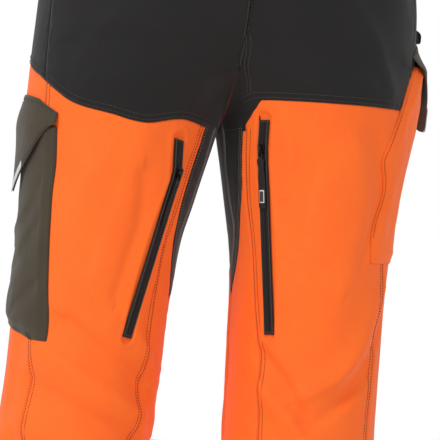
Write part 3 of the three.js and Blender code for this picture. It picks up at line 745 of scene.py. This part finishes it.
# a pocket's rear edge as [distance below, degrees], its base and its depth as shares
pocketEdge = {
    "left": [[18, 48.5], [57, 47.5], [92, 48.5], [122, 47], [163, 44.5], [211, 40], [257, 37]],
    "right": [[-95, 70], [-82, 64], [-62, 56], [-43, 50], [5, 39], [20, 38.5], [40, 43], [59, 44.5],
              [87, 39.5], [104, 37.5], [135, 38.5]],
}
pocketBase = {"left": [[37, 257], [52, 257], [64, 254], [99, 243], [141, 243]],
              "right": [[37, 135], [80, 133], [138, 130]]}
pocketDepth = {"left": [[18, 0.9], [60, 0.72], [110, 0.78], [190, 1.0], [257, 0.8]],
               "right": [[-95, 1.0], [-50, 0.8], [0, 0.42], [60, 0.3], [135, 0.32]]}
flapHem = [[0, 16], [0.13, 7], [0.22, 1], [0.5, -3], [0.8, 0], [1, 8]]
flapEdge = [[0, 0.27], [0.04, 0.30], [0.12, 0.435], [0.21, 0.61], [0.39, 0.88], [0.46, 0.985], [0.5, 1.0],
            [0.54, 0.985], [0.61, 0.9], [0.8, 0.6], [0.9, 0.44], [0.96, 0.35], [1, 0.32]]
pocketDents = {
    "left": [([[50, 60], [70, 120], [98, 150]], 13, -2.6), ([[54, 120], [76, 170], [98, 190]], 12, -2.2),
             ([[48, 190], [70, 215], [90, 250]], 10, -2.4), ([[60, 90], [84, 130], [110, 140]], 10, 1.4)],
    "right": [([[50, -60], [66, 10], [60, 90]], 10, -2.6), ([[60, -40], [80, 30], [76, 110]], 13, -1.8),
              ([[46, 60], [60, 100], [90, 120]], 10, -1.6)],
}


# the height of a pocket's face: pleated bellows at its edges, dented in the middle
def pocketLift(sideName, angle, below):
    p = pockets[sideName]
    fromSide = np.minimum(angle - np.interp(below, *zip(*pocketEdge[sideName])), p["front"] - angle) * 1.9
    fromBase = np.interp(angle, *zip(*pocketBase[sideName])) - below
    d = np.minimum(fromSide, fromBase + 1)
    pleat = 0.42 * ease(d, 0, 3) - 0.05 * bump(d - 5, 1.4) + 0.58 * ease(d, 3.5, 15)
    share = np.interp(below, *zip(*pocketDepth[sideName]))
    high = 0.4 + p["deep"] * pleat * share
    face = ease(d, 6, 22)
    for points, wide, depth in pocketDents[sideName]:
        near, which = distanceTo(points, angle, below)
        high = high + face * depth * share * bump(near, np.where(which > 0, wide * 0.6, wide * 1.3))
    return high + face * 0.7 * noise(angle / 12, below / 24, 21)


def flapPoint(sideName, across, down, lift):
    p = pockets[sideName]
    angle = p["flapRear"] + (p["flapFront"] - p["flapRear"]) * across
    hem = p["hem"] + smooth(*zip(*flapHem), across)
    low = p["hem"] + (p["tip"] - p["hem"]) * smooth(*zip(*flapEdge), across)
    below = hem + (low - hem) * down
    over = ease(below, hem, p["mouth"] + 6)
    hang = np.maximum(0, below - p["mouth"]) / (p["tip"] - p["mouth"])
    height = 0.6 + over * (p["deep"] + 1) + p["lean"] * hang**2
    height = (height + clothLift(sign[sideName], angle, below) * (1 - over)
              + 0.9 * over * noise(across * 5, down * 4, 31))
    return cloth(sign[sideName], angle, below, height + lift), angle, below


for sideName in sides:
    p = pockets[sideName]
    v, u = grid(int((p["base"] - p["mouth"]) / fineness), int(180 / fineness))
    angle, below = p["rear"] + (p["front"] - p["rear"]) * u, p["mouth"] + (p["base"] - p["mouth"]) * v
    for _ in range(6):
        edgeAt = smooth(*zip(*pocketEdge[sideName]), below)
        angle = edgeAt + (p["front"] - edgeAt) * u
        below = p["mouth"] + (np.interp(angle, *zip(*pocketBase[sideName])) - p["mouth"]) * v
    high = pocketLift(sideName, angle, below)
    side = sign[sideName]
    base = clothLift(side, angle, below)
    lip = 0.7 * (1 - ease(below - p["mouth"], 9, 11))
    outer = cloth(side, angle, below, base + high + lip)
    middle, wall = (edgeAt + p["front"]) / 2, 1.5
    inset = middle + (angle - middle) * (1 - 2 * wall / 180)
    inner = cloth(side, inset, below - wall * ease(v, 0.5, 1), base + high - wall)
    uv = np.stack([toMillimetres(angle, below), below], -1) / 1000
    made = clothPiece(f"pocket_{sideName}_cloth", outer, inner, olive if sideName == "left" else orange, uv)
    finishPiece(made, f"pocket_{sideName}")

    v, u = grid(int(100 / fineness), int(170 / fineness))
    toEdge = np.minimum(np.minimum(u, 1 - u) * 170, np.minimum(v, 1 - v) * 100)
    puff = flap["thick"] - 0.9 * (1 - ease(toEdge, 0, 2.5)) - 0.6 * bump(toEdge - flap["stitch"], 1.1)
    outer, angle, below = flapPoint(sideName, u, v, puff)
    inner, _, _ = flapPoint(sideName, u, v, 0.15 + 0 * v)
    uv = np.stack([toMillimetres(angle, below), below], -1) / 1000
    made = clothPiece(f"pocket_flap_{sideName}_cloth", outer, inner, olive, uv)
    finishPiece(made, f"pocket_flap_{sideName}", f"pocket_flap_{sideName}")

    # near-white trim at the flap's tip: reflective edging whose colour is also a painted glint
    v, u = grid(10, 60)
    outer, angle, below = flapPoint(sideName, 0.3 + 0.4 * u, 0.9 + 0.105 * v, 2.9 - 0.5 * bump(v - 0.5, 0.1))
    inner, _, _ = flapPoint(sideName, 0.3 + 0.4 * u, 0.9 + 0.105 * v, 2.1 + 0 * v)
    uv = np.stack([toMillimetres(angle, below), below], -1) / 1000
    made = clothPiece(f"flap_trim_{sideName}_tape", outer, inner, reflectiveAndGlint, uv)
    finishPiece(made, f"flap_trim_{sideName}", f"pocket_flap_{sideName}", held=None)

    v, u = grid(16, 50)
    angle, below = 78 + 30 * u, p["mouth"] + 12 + 28 * v
    high = pocketLift(sideName, angle, below) + clothLift(side, angle, below)
    tufts = 0.9 + 0.35 * noise(u * 40, v * 22, 9)
    uv = np.stack([toMillimetres(angle, below), below], -1) / 1000
    made = clothPiece(f"hook_strip_{sideName}_tape", cloth(side, angle, below, high + tufts),
                      cloth(side, angle, below, high + 0.1), tape, uv)
    finishPiece(made, f"hook_strip_{sideName}", held=None)
stage("pockets and flaps")

# zips
tapes = {"near": 0.25, "far": 6.6, "lip": 1.0}
for sideName in sides:
    points = seams[sideName]["vent"]
    _, rest, _, down, out, across = ventFrame(sideName)
    v, u = grid(90, 14)
    below = points[0][1] - 2 + (points[2][1] - points[0][1] + 6) * v
    middle = ventPoint(sideName, below)
    for which, way in (("outer", 1), ("inner", -1)):
        x = way * (tapes["near"] + (tapes["far"] - tapes["near"]) * u)
        high = 0.1 + tapes["lip"] * bump(u - 0.6, 0.27) - 0.7 * ease(u, 0.85,
                                                                     1) + 0.12 * noise(u * 3, v * 60, 41)
        outer = middle + across * x[..., None] + out * high[..., None]
        inner = middle + across * x[..., None] + out * (high * 0 - 1.1)[..., None]
        made = clothPiece(f"vent_tape_{which}_{sideName}_cloth", outer, inner, tape,
                          np.stack([x, below], -1) / 1000)
        finishPiece(made, f"vent_tape_{which}_{sideName}", held=None)
    v, u = grid(60, 12)
    below = points[0][1] - 8 + (points[2][1] - points[0][1] + 16) * v
    angle = np.interp(below, vents[sideName][0], vents[sideName][1]) + (u - 0.5) * 15
    made = layered(f"vent_mesh_{sideName}_net", sideName, angle, below,
                   -3.0 + 0.2 * noise(u * 9, v * 70, 43), -3.7 + 0 * v,
                   meshCloth)
    finishPiece(made, f"vent_mesh_{sideName}")

pulls = {"left": {"long": 46, "wide": 5.5, "thick": 2.2}, "right": {"long": 52, "wide": 9.0, "thick": 1.7}}
for sideName in sides:
    _, rest, _, down, out, across = ventFrame(sideName)
    pull = pulls[sideName]
    v, u = grid(60, 12)
    start = zipper["slider"] / 2 + zipper["linkReach"] - 4
    y = start + (pull["long"] + 4.3) * v
    ends = np.sqrt(np.clip(1 - (1 - np.clip(np.minimum(v * 54 + 1.6, (1 - v) * 54 + 0.4) / 3, 0, 1)) ** 2,
                           0.02, 1))
    waist = 1 - 0.22 * bump(v - 0.2, 0.1)
    x = (u - 0.5) * pull["wide"] * ends * waist
    crown = np.sqrt(np.clip(1 - (2 * u - 1) ** 2 * 0.8, 0, 1))
    rib = 0.12 * np.sin(v * 150) * ease(v, 0.3,
                                        0.35) if sideName == "left" else 0.08 * noise(u * 5, v * 90, 4)
    half = pull["thick"] / 2 * crown * (0.6 + 0.4 * ends) + rib
    droop = zipper["linkHigh"] - 0.9 * v - 0.8 * np.sin(v * math.pi) ** 2
    made = framed(f"vent_tab_{sideName}_grip", rest, across, down, out, x, y, droop + half, droop - half,
                  tape)
    finishPiece(made, f"vent_tab_{sideName}", f"vent_pull_{sideName}", held=None)
    if sideName == "right":
        v, u = grid(10, 8)
        share = 0.62 + 0.26 * v
        lie = zipper["linkHigh"] - 0.9 * share - 0.8 * np.sin(share * math.pi) ** 2 + pull["thick"] / 2
        x, y = (u - 0.5) * 6.2, start + (pull["long"] + 4.3) * share
        made = framed("vent_tab_right_patch", rest, across, down, out, x, y,
                      lie + 0.45 - 0.2 * (2 * u - 1) ** 2,
                      lie - 0.3 + 0 * u, reflectiveAndGlint)
        finishPiece(made, "vent_tab_right", "vent_pull_right", held=None)
        y = start + (pull["long"] + 4.3) * (0.645 + 0.21 * v)
        made = framed("vent_tab_right_face", rest, across, down, out, (u - 0.5) * 4.6, y,
                      lie + 0.75 - 0.2 * (2 * u - 1) ** 2,
                      lie + 0.1 + 0 * u, patchRubber)
        finishPiece(made, "vent_tab_right", "vent_pull_right", held=None)

fly = {"pivot": (-105.42, -85.43), "topDepth": 126, "endDepth": 97, "top": -243, "end": -86}
flyRadius = math.hypot(fly["topDepth"] - fly["pivot"][0], -rise - fly["top"] - fly["pivot"][1])
flyTurn = [math.atan2(-rise - fly[b] - fly["pivot"][1], fly[d] - fly["pivot"][0]) for b, d in
           (("top", "topDepth"), ("end", "endDepth"))]


def flyPlace(x, share, lift):
    turn = flyTurn[0] + (flyTurn[1] - flyTurn[0]) * share
    return np.stack([x + 0 * turn, fly["pivot"][0] + (flyRadius + lift) * np.cos(turn),
                     fly["pivot"][1] + (flyRadius + lift) * np.sin(turn)], -1)


v, u = grid(60, 12)
for which, way in (("right", 1), ("left", -1)):
    x = way * (tapes["near"] + (6.8 - tapes["near"]) * u)
    high = -0.9 + 0.5 * bump(u - 0.6, 0.3)
    made = clothPiece(f"fly_tape_{which}_cloth", flyPlace(x, v, high), flyPlace(x, v, high * 0 - 1.9), tape,
                      np.stack([x, v * 160], -1) / 1000)
    finishPiece(made, f"fly_tape_{which}", held=None)
x = (u - 0.5) * 40
made = clothPiece("fly_shield_cloth", flyPlace(x, v, -3.4 + 0.15 * noise(u * 4, v * 20, 3)),
                  flyPlace(x, v, -4.7 + 0 * v),
                  black, np.stack([x, v * 160], -1) / 1000)
finishPiece(made, "fly_shield")


def tabPlace(x, below, lift):
    _, wide, depth = section(below)
    return np.stack([x, (depth + lift) * np.sqrt(1 - (x / (wide + lift)) ** 2), -rise - below], -1)


v, u = grid(24, 60)
x, below = -38 + 72 * u, -286 + 37 * v
rounding = 1 - 0.9 * (1 - ease(np.minimum(np.minimum(u, 1 - u) * 72, np.minimum(v, 1 - v) * 37), 0, 2.2))
dip = 0.5 * bump(np.minimum(np.minimum(u, 1 - u) * 72, np.minimum(v, 1 - v) * 37) - 4.5, 1)
made = clothPiece("waist_tab_cloth", tabPlace(x, below, 1 + 1.9 * rounding - dip),
                  tabPlace(x, below, 0.5 + 0 * u), black,
                  np.stack([x, below], -1) / 1000)
finishPiece(made, "waist_tab", "waist_tab", held=None)

loop = {"wide": 12, "rise": 10.3, "thick": 1.8, "tall": 42}
loops = {"belt_loop_back": (1, 0), "belt_loop_side_left": (-1, 90), "belt_loop_side_right": (1, 90),
         "belt_loop_front_left": (-1, 165), "belt_loop_front_right": (1, 165)}
for name, (side, angle) in loops.items():
    middle = -rise + 22.5
    upper, lower, at = (cloth(side, angle, b, h) for b,
                        h in ((middle - 20, 0), (middle + 20, 0), (middle, 0.9)))
    down = (lower - upper) / np.linalg.norm(lower - upper)
    out = outOf(side, angle, middle)
    out = out - down * (out @ down)
    out = out / np.linalg.norm(out)
    across = np.cross(down, out)
    v, u = grid(50, 12)
    arch = ease(np.minimum(v, 1 - v) * loop["tall"], 2.2, 8)
    y = (v - 0.5) * loop["tall"]
    x = (u - 0.5) * loop["wide"]
    rolledEdge = 0.35 * bump(np.abs(2 * u - 1) - 0.72, 0.1)
    low = (loop["rise"] - loop["thick"]) * arch
    made = framed(name + "_strap", at, across, down, out, x, y,
                  low + loop["thick"] - 0.5 * (2 * u - 1) ** 6 - rolledEdge, low, black)
    finishPiece(made, name, held=None)

webbing = {"out": 13, "across": 24, "tall": 13, "thick": 2.2, "back": 5}
at = np.array(flatCloth(1, 102, -136))
axis, edge, depth = (np.interp(-136, body["below"], body[key]) for key in ("axis", "edge", "depth"))
turn = math.radians(102)
at = np.array([axis + (edge - axis + 6.3) * math.sin(turn), -(depth + 6.3) * math.cos(turn), -rise + 136])
v, u = grid(72, 14)
v, u = v[:-1], u[:-1]
rounding = 2 * math.pi * v
half = np.array([webbing["out"] / 2, webbing["tall"] / 2])
corner = lambda a, p: np.sign(a) * np.abs(a) ** p
oval = np.stack([corner(np.cos(rounding), 0.5), corner(np.sin(rounding), 0.5)], -1)
edgeDip = 0.35 * np.abs(2 * u - 1) ** 6
ringOut = oval * (half - edgeDip[..., None])
ringIn = oval * (half - webbing["thick"] + edgeDip[..., None] * 0.5)
place = lambda r: np.stack([at[0] + 4 + r[..., 0], at[1] - webbing["back"] + (u - 0.5) * webbing["across"],
                            at[2] + r[..., 1] - 0.03 * (r[..., 0] + 8) ** 2], -1).swapaxes(0, 1)
made = clothPiece("webbing_loop_strap", place(ringOut), place(ringIn), tape,
                  np.stack([(u - 0.5) * 22, v * 46], -1).swapaxes(0, 1) / 1000, ring=True)
finishPiece(made, "webbing_loop", held=None)
stage("zips, loops and tab")

# stitches and zip teeth
# lays one small rounded part along lines at even steps
def repeatTree(name):
    tree = bpy.data.node_groups.new(name, "GeometryNodeTree")
    sockets = {}
    for label, kind, way in (("Lines", "NodeSocketGeometry", "INPUT"), ("Step", "NodeSocketFloat", "INPUT"),
                             ("Length", "NodeSocketFloat", "INPUT"), ("Width", "NodeSocketFloat", "INPUT"),
                             ("Height", "NodeSocketFloat", "INPUT"),
                             ("Finish", "NodeSocketMaterial", "INPUT"),
                             ("Parts", "NodeSocketGeometry", "OUTPUT")):
        sockets[label] = tree.interface.new_socket(label, in_out=way, socket_type=kind)
    give, take = tree.nodes.new("NodeGroupInput"), tree.nodes.new("NodeGroupOutput")
    add = tree.nodes.new
    join = tree.links.new
    curve = add("GeometryNodeMeshToCurve")
    join(give.outputs["Lines"], curve.inputs["Mesh"])
    points = add("GeometryNodeCurveToPoints")
    points.mode = "LENGTH"
    join(curve.outputs["Curve"], points.inputs["Curve"])
    join(give.outputs["Step"], points.inputs["Length"])
    facing = add("GeometryNodeInputNamedAttribute")
    facing.data_type = "FLOAT_VECTOR"
    facing.inputs["Name"].default_value = "facing"
    first = add("FunctionNodeAlignRotationToVector")
    first.axis = "Z"
    join(facing.outputs[0], first.inputs["Vector"])
    second = add("FunctionNodeAlignRotationToVector")
    second.axis, second.pivot_axis = "X", "Z"
    join(first.outputs[0], second.inputs["Rotation"])
    join(points.outputs["Tangent"], second.inputs["Vector"])
    ball = add("GeometryNodeMeshUVSphere")
    ball.inputs["Segments"].default_value, ball.inputs["Rings"].default_value = 6, 4
    ball.inputs["Radius"].default_value = 0.5
    size = add("ShaderNodeCombineXYZ")
    for label, axis in (("Length", "X"), ("Width", "Y"), ("Height", "Z")):
        join(give.outputs[label], size.inputs[axis])
    shaped = add("GeometryNodeTransform")
    join(ball.outputs["Mesh"], shaped.inputs["Geometry"])
    join(size.outputs[0], shaped.inputs["Scale"])
    laid = add("GeometryNodeInstanceOnPoints")
    join(points.outputs["Points"], laid.inputs["Points"])
    join(shaped.outputs[0], laid.inputs["Instance"])
    join(second.outputs[0], laid.inputs["Rotation"])
    real = add("GeometryNodeRealizeInstances")
    join(laid.outputs[0], real.inputs[0])
    finish = add("GeometryNodeSetMaterial")
    join(real.outputs[0], finish.inputs["Geometry"])
    join(give.outputs["Finish"], finish.inputs["Material"])
    join(finish.outputs[0], take.inputs["Parts"])
    return tree, sockets


partTree, partSockets = repeatTree("parts along lines")


# one mesh of small parts along lines, each line a pair of points and outward directions, in millimetres
def along(name, lines, step, length, width, height, material, bodyName, node, slot):
    points, edges, faces = [], [], []
    for where, out in lines:
        start = len(points)
        points += list(where / 1000)
        faces += list(out)
        edges += [(start + k, start + k + 1) for k in range(len(where) - 1)]
    mesh = bpy.data.meshes.new(name + "Lines")
    mesh.from_pydata([tuple(map(float, p)) for p in points], edges, [])
    mesh.attributes.new("facing", "FLOAT_VECTOR", "POINT").data.foreach_set("vector",
                                                                            np.array(faces, float).ravel())
    holder = bpy.data.objects.new(name + "Lines", mesh)
    bpy.context.scene.collection.objects.link(holder)
    modifier = holder.modifiers.new("parts", "NODES")
    modifier.node_group = partTree
    for label, value in (("Step", step), ("Length", length), ("Width", width), ("Height", height)):
        modifier[partSockets[label].identifier] = value / 1000
    modifier[partSockets["Finish"].identifier] = material
    ready = holder.evaluated_get(bpy.context.evaluated_depsgraph_get())
    result = bpy.data.meshes.new_from_object(ready)
    result.name = name
    if not result.materials:
        result.materials.append(material)
    bpy.data.objects.remove(holder)
    made = bpy.data.objects.new(name, result)
    for face in result.polygons:
        face.use_smooth = True
    bpy.context.scene.collection.objects.link(made)
    return finishPiece(made, node, bodyName, held=None)


# a line over the cloth, moved aside by so many millimetres
def clothLine(sideName, points, aside=0.0, lift=0.0, steps=None):
    side = sign[sideName]
    where = [np.array(p, float) for p in points]
    total = [0]
    for a, b in zip(where[:-1], where[1:]):
        total.append(total[-1] + math.hypot((b[0] - a[0]) * 1.9, b[1] - a[1]))
    t = np.linspace(0, total[-1], max(6, int(total[-1] / 5)))
    angle = smooth(total, [p[0] for p in where], t)
    below = smooth(total, [p[1] for p in where], t)
    da, db = np.gradient(angle * 1.9), np.gradient(below)
    size = np.hypot(da, db)
    angle, below = angle + aside * db / size / 1.9, below - aside * da / size
    high = clothLift(side, angle, below) + lift
    return cloth(side, angle, below, high), outOf(side, angle, below)


stitch = {"step": 3.3, "length": 2.5, "width": 0.95, "height": 0.8, "aside": (2.8, 8.0), "lift": 0.35}
for sideName in sides:
    lines = seams[sideName]
    blackLines, orangeLines, greyLines = [], [], []
    yokeShort = [p for p in lines["yoke"] if p[0] >= -52]
    for aside in stitch["aside"]:
        blackLines.append(clothLine(sideName, yokeShort, aside, 1.0))
        orangeLines.append(clothLine(sideName, sideSeam[1:], -aside, stitch["lift"]))
        orangeLines.append(clothLine(sideName, lines["innerBack"], aside, stitch["lift"]))
        greyLines.append(clothLine(sideName, lines["gussetRear"], -aside * 0.55 + 0.4, 0.5))
        blackLines.append(clothLine(
            sideName, [[centreAngle(b) + 2.0, b] for b in (-243, -200, -150, -110, -70)], -aside * 0.6, 1.0))
    if sideName == "right":
        for aside in (0, 4.5):
            blackLines.append(clothLine(
                sideName, [[-33, -115], [-38, -94], [-45, -73], [-49, -44]], aside, 1.1))
    # round the pocket's edge and the flap's hem
    p = pockets[sideName]
    edge = [[angle + 1.6, below] for below, angle in pocketEdge[sideName][:-1]]
    where, out = clothLine(sideName, edge, 0, 0)
    high = 0.6 * p["deep"] * 0.42 * np.interp(-rise - where[:, 2], *zip(*pocketDepth[sideName]))
    hemmed = [(where + out * (high + 1.2)[:, None], out)]
    common = (stitch["step"], stitch["length"], stitch["width"], stitch["height"])
    along(f"pocket_stitches_{sideName}", hemmed, *common,
          darkThread if sideName == "left" else orangeThread, "trousers",
          f"pocket_{sideName}", "olive_cloth" if sideName == "left" else "orange_cloth")
    along(f"seat_stitches_{sideName}", blackLines, *common, darkThread, "trousers", f"seat_{sideName}",
          "black_cloth")
    along(f"leg_stitches_{sideName}", orangeLines, *common, orangeThread, "trousers", f"rear_{sideName}",
          "orange_cloth")
    along(f"gusset_stitches_{sideName}", greyLines, *common, greyThread, "trousers", f"gusset_{sideName}",
          "black_cloth")
    sewn = []
    for inset in (0.045, 0.085):
        u = np.linspace(inset, 1 - inset, 60)
        for start, down in ((u, 1 - inset), (u, inset)):
            where, angle, below = flapPoint(sideName, start, down + 0 * u, 2.0)
            sewn.append((where, outOf(sign[sideName], angle, below)))
    along(f"flap_stitches_{sideName}", sewn, *common, darkThread, f"pocket_flap_{sideName}",
          f"pocket_flap_{sideName}", "olive_cloth")

teeth = {"step": 2.4, "length": 1.5, "width": 2.5, "height": 1.7}
for sideName in sides:
    points = seams[sideName]["vent"]
    _, _, _, down, out, across = ventFrame(sideName)
    rows = []
    for way, late in ((1, 0.0), (-1, 1.2)):
        below = np.linspace(points[0][1] + 1 + late, points[2][1] - 3 + late, 30)
        where = ventPoint(sideName, below) + across * way * 0.75 + out * 0.55
        rows.append((where, np.tile(out, (30, 1))))
    along(f"vent_teeth_{sideName}", rows, teeth["step"], teeth["length"], teeth["width"], teeth["height"],
          teethPlastic,
          "trousers", f"vent_coil_{sideName}", "zip_tape")
    edge = []
    for way in (1, -1):
        below = np.linspace(points[0][1], points[2][1] + 1, 30)
        edge.append((ventPoint(sideName, below) + across * way * 5.4 + out * 1.0, np.tile(out, (30, 1))))
    for below in (points[0][1] - 0.5, points[2][1] + 1.5):
        where = ventPoint(sideName, np.array([below]))[0] + across * np.linspace(-6, 6, 5)[:,
                                                                                           None] + out * 0.9
        edge.append((where, np.tile(out, (5, 1))))
    along(f"vent_stitches_{sideName}", edge, 2.6, 2.0, 0.6, 0.5, greyThread, "trousers",
          f"vent_tape_outer_{sideName}",
          "zip_tape")
rows = []
share = np.linspace(0.01, 0.99, 40)
for way, late in ((1, 0.0), (-1, 0.007)):
    where = flyPlace(way * 0.75 + 0 * share, share + late * 0.9, -0.3)
    rows.append((where, flyPlace(0 * share, share, 1.0) - flyPlace(0 * share, share, 0.0)))
along("fly_teeth", rows, teeth["step"], teeth["length"], teeth["width"], teeth["height"], teethPlastic,
      "trousers",
      "fly_coil", "zip_tape")
stage("stitches and teeth")

# the metal pieces keep their own shapes
for name in ("vent_slider_left", "vent_slider_right", "vent_pull_left", "vent_pull_right", "fly_slider",
             "fly_pull",
             "snap_cap"):
    kept = bpy.data.objects[name]
    kept.data.materials.clear()
    kept.data.materials.append(snapMetal if name == "snap_cap" else metal)

# lights, floor, world
lights = {"key": 50, "fill": 12, "back": 16, "world": 0.62, "floor": -1.1}


def addLight(name, place, power, size):
    data = bpy.data.lights.new(name, "AREA")
    data.energy, data.size = power, size
    lamp = bpy.data.objects.new(name, data)
    lamp.location = place
    lamp.rotation_euler = (Vector((0, 0, -0.4)) - Vector(place)).to_track_quat("-Z", "Y").to_euler()
    bpy.context.scene.collection.objects.link(lamp)


addLight("key", (-2.3, -1.9, 1.0), lights["key"], 1.1)
addLight("fill", (2.2, -1.8, 0.2), lights["fill"], 2.0)
addLight("back", (0.3, 2.6, 1.2), lights["back"], 2.0)
world = bpy.data.worlds.new("world")
world.use_nodes = True
world.node_tree.nodes["Background"].inputs[0].default_value = (1, 1, 1, 1)
world.node_tree.nodes["Background"].inputs[1].default_value = lights["world"]
seen = world.node_tree.nodes.new("ShaderNodeLightPath")
plain = world.node_tree.nodes.new("ShaderNodeBackground")
mixed = world.node_tree.nodes.new("ShaderNodeMixShader")
world.node_tree.links.new(seen.outputs["Is Camera Ray"], mixed.inputs[0])
world.node_tree.links.new(world.node_tree.nodes["Background"].outputs[0], mixed.inputs[1])
world.node_tree.links.new(plain.outputs[0], mixed.inputs[2])
world.node_tree.links.new(mixed.outputs[0], world.node_tree.nodes["World Output"].inputs[0])
plain.inputs[0].default_value = (1, 1, 1, 1)
bpy.context.scene.world = world
bpy.context.scene.view_settings.view_transform = "Standard"
floorMaterial = bpy.data.materials.new("floor")
floorMaterial.use_nodes = True
floorMaterial.node_tree.nodes["Principled BSDF"].inputs["Base Color"].default_value = (0.9, 0.9, 0.9, 1)
floorMaterial.node_tree.nodes["Principled BSDF"].inputs["Roughness"].default_value = 0.9
bpy.ops.mesh.primitive_plane_add(size=12, location=(0, 0, lights["floor"]))
floor = bpy.context.object
floor.name = "floor"
floor.data.materials.append(floorMaterial)
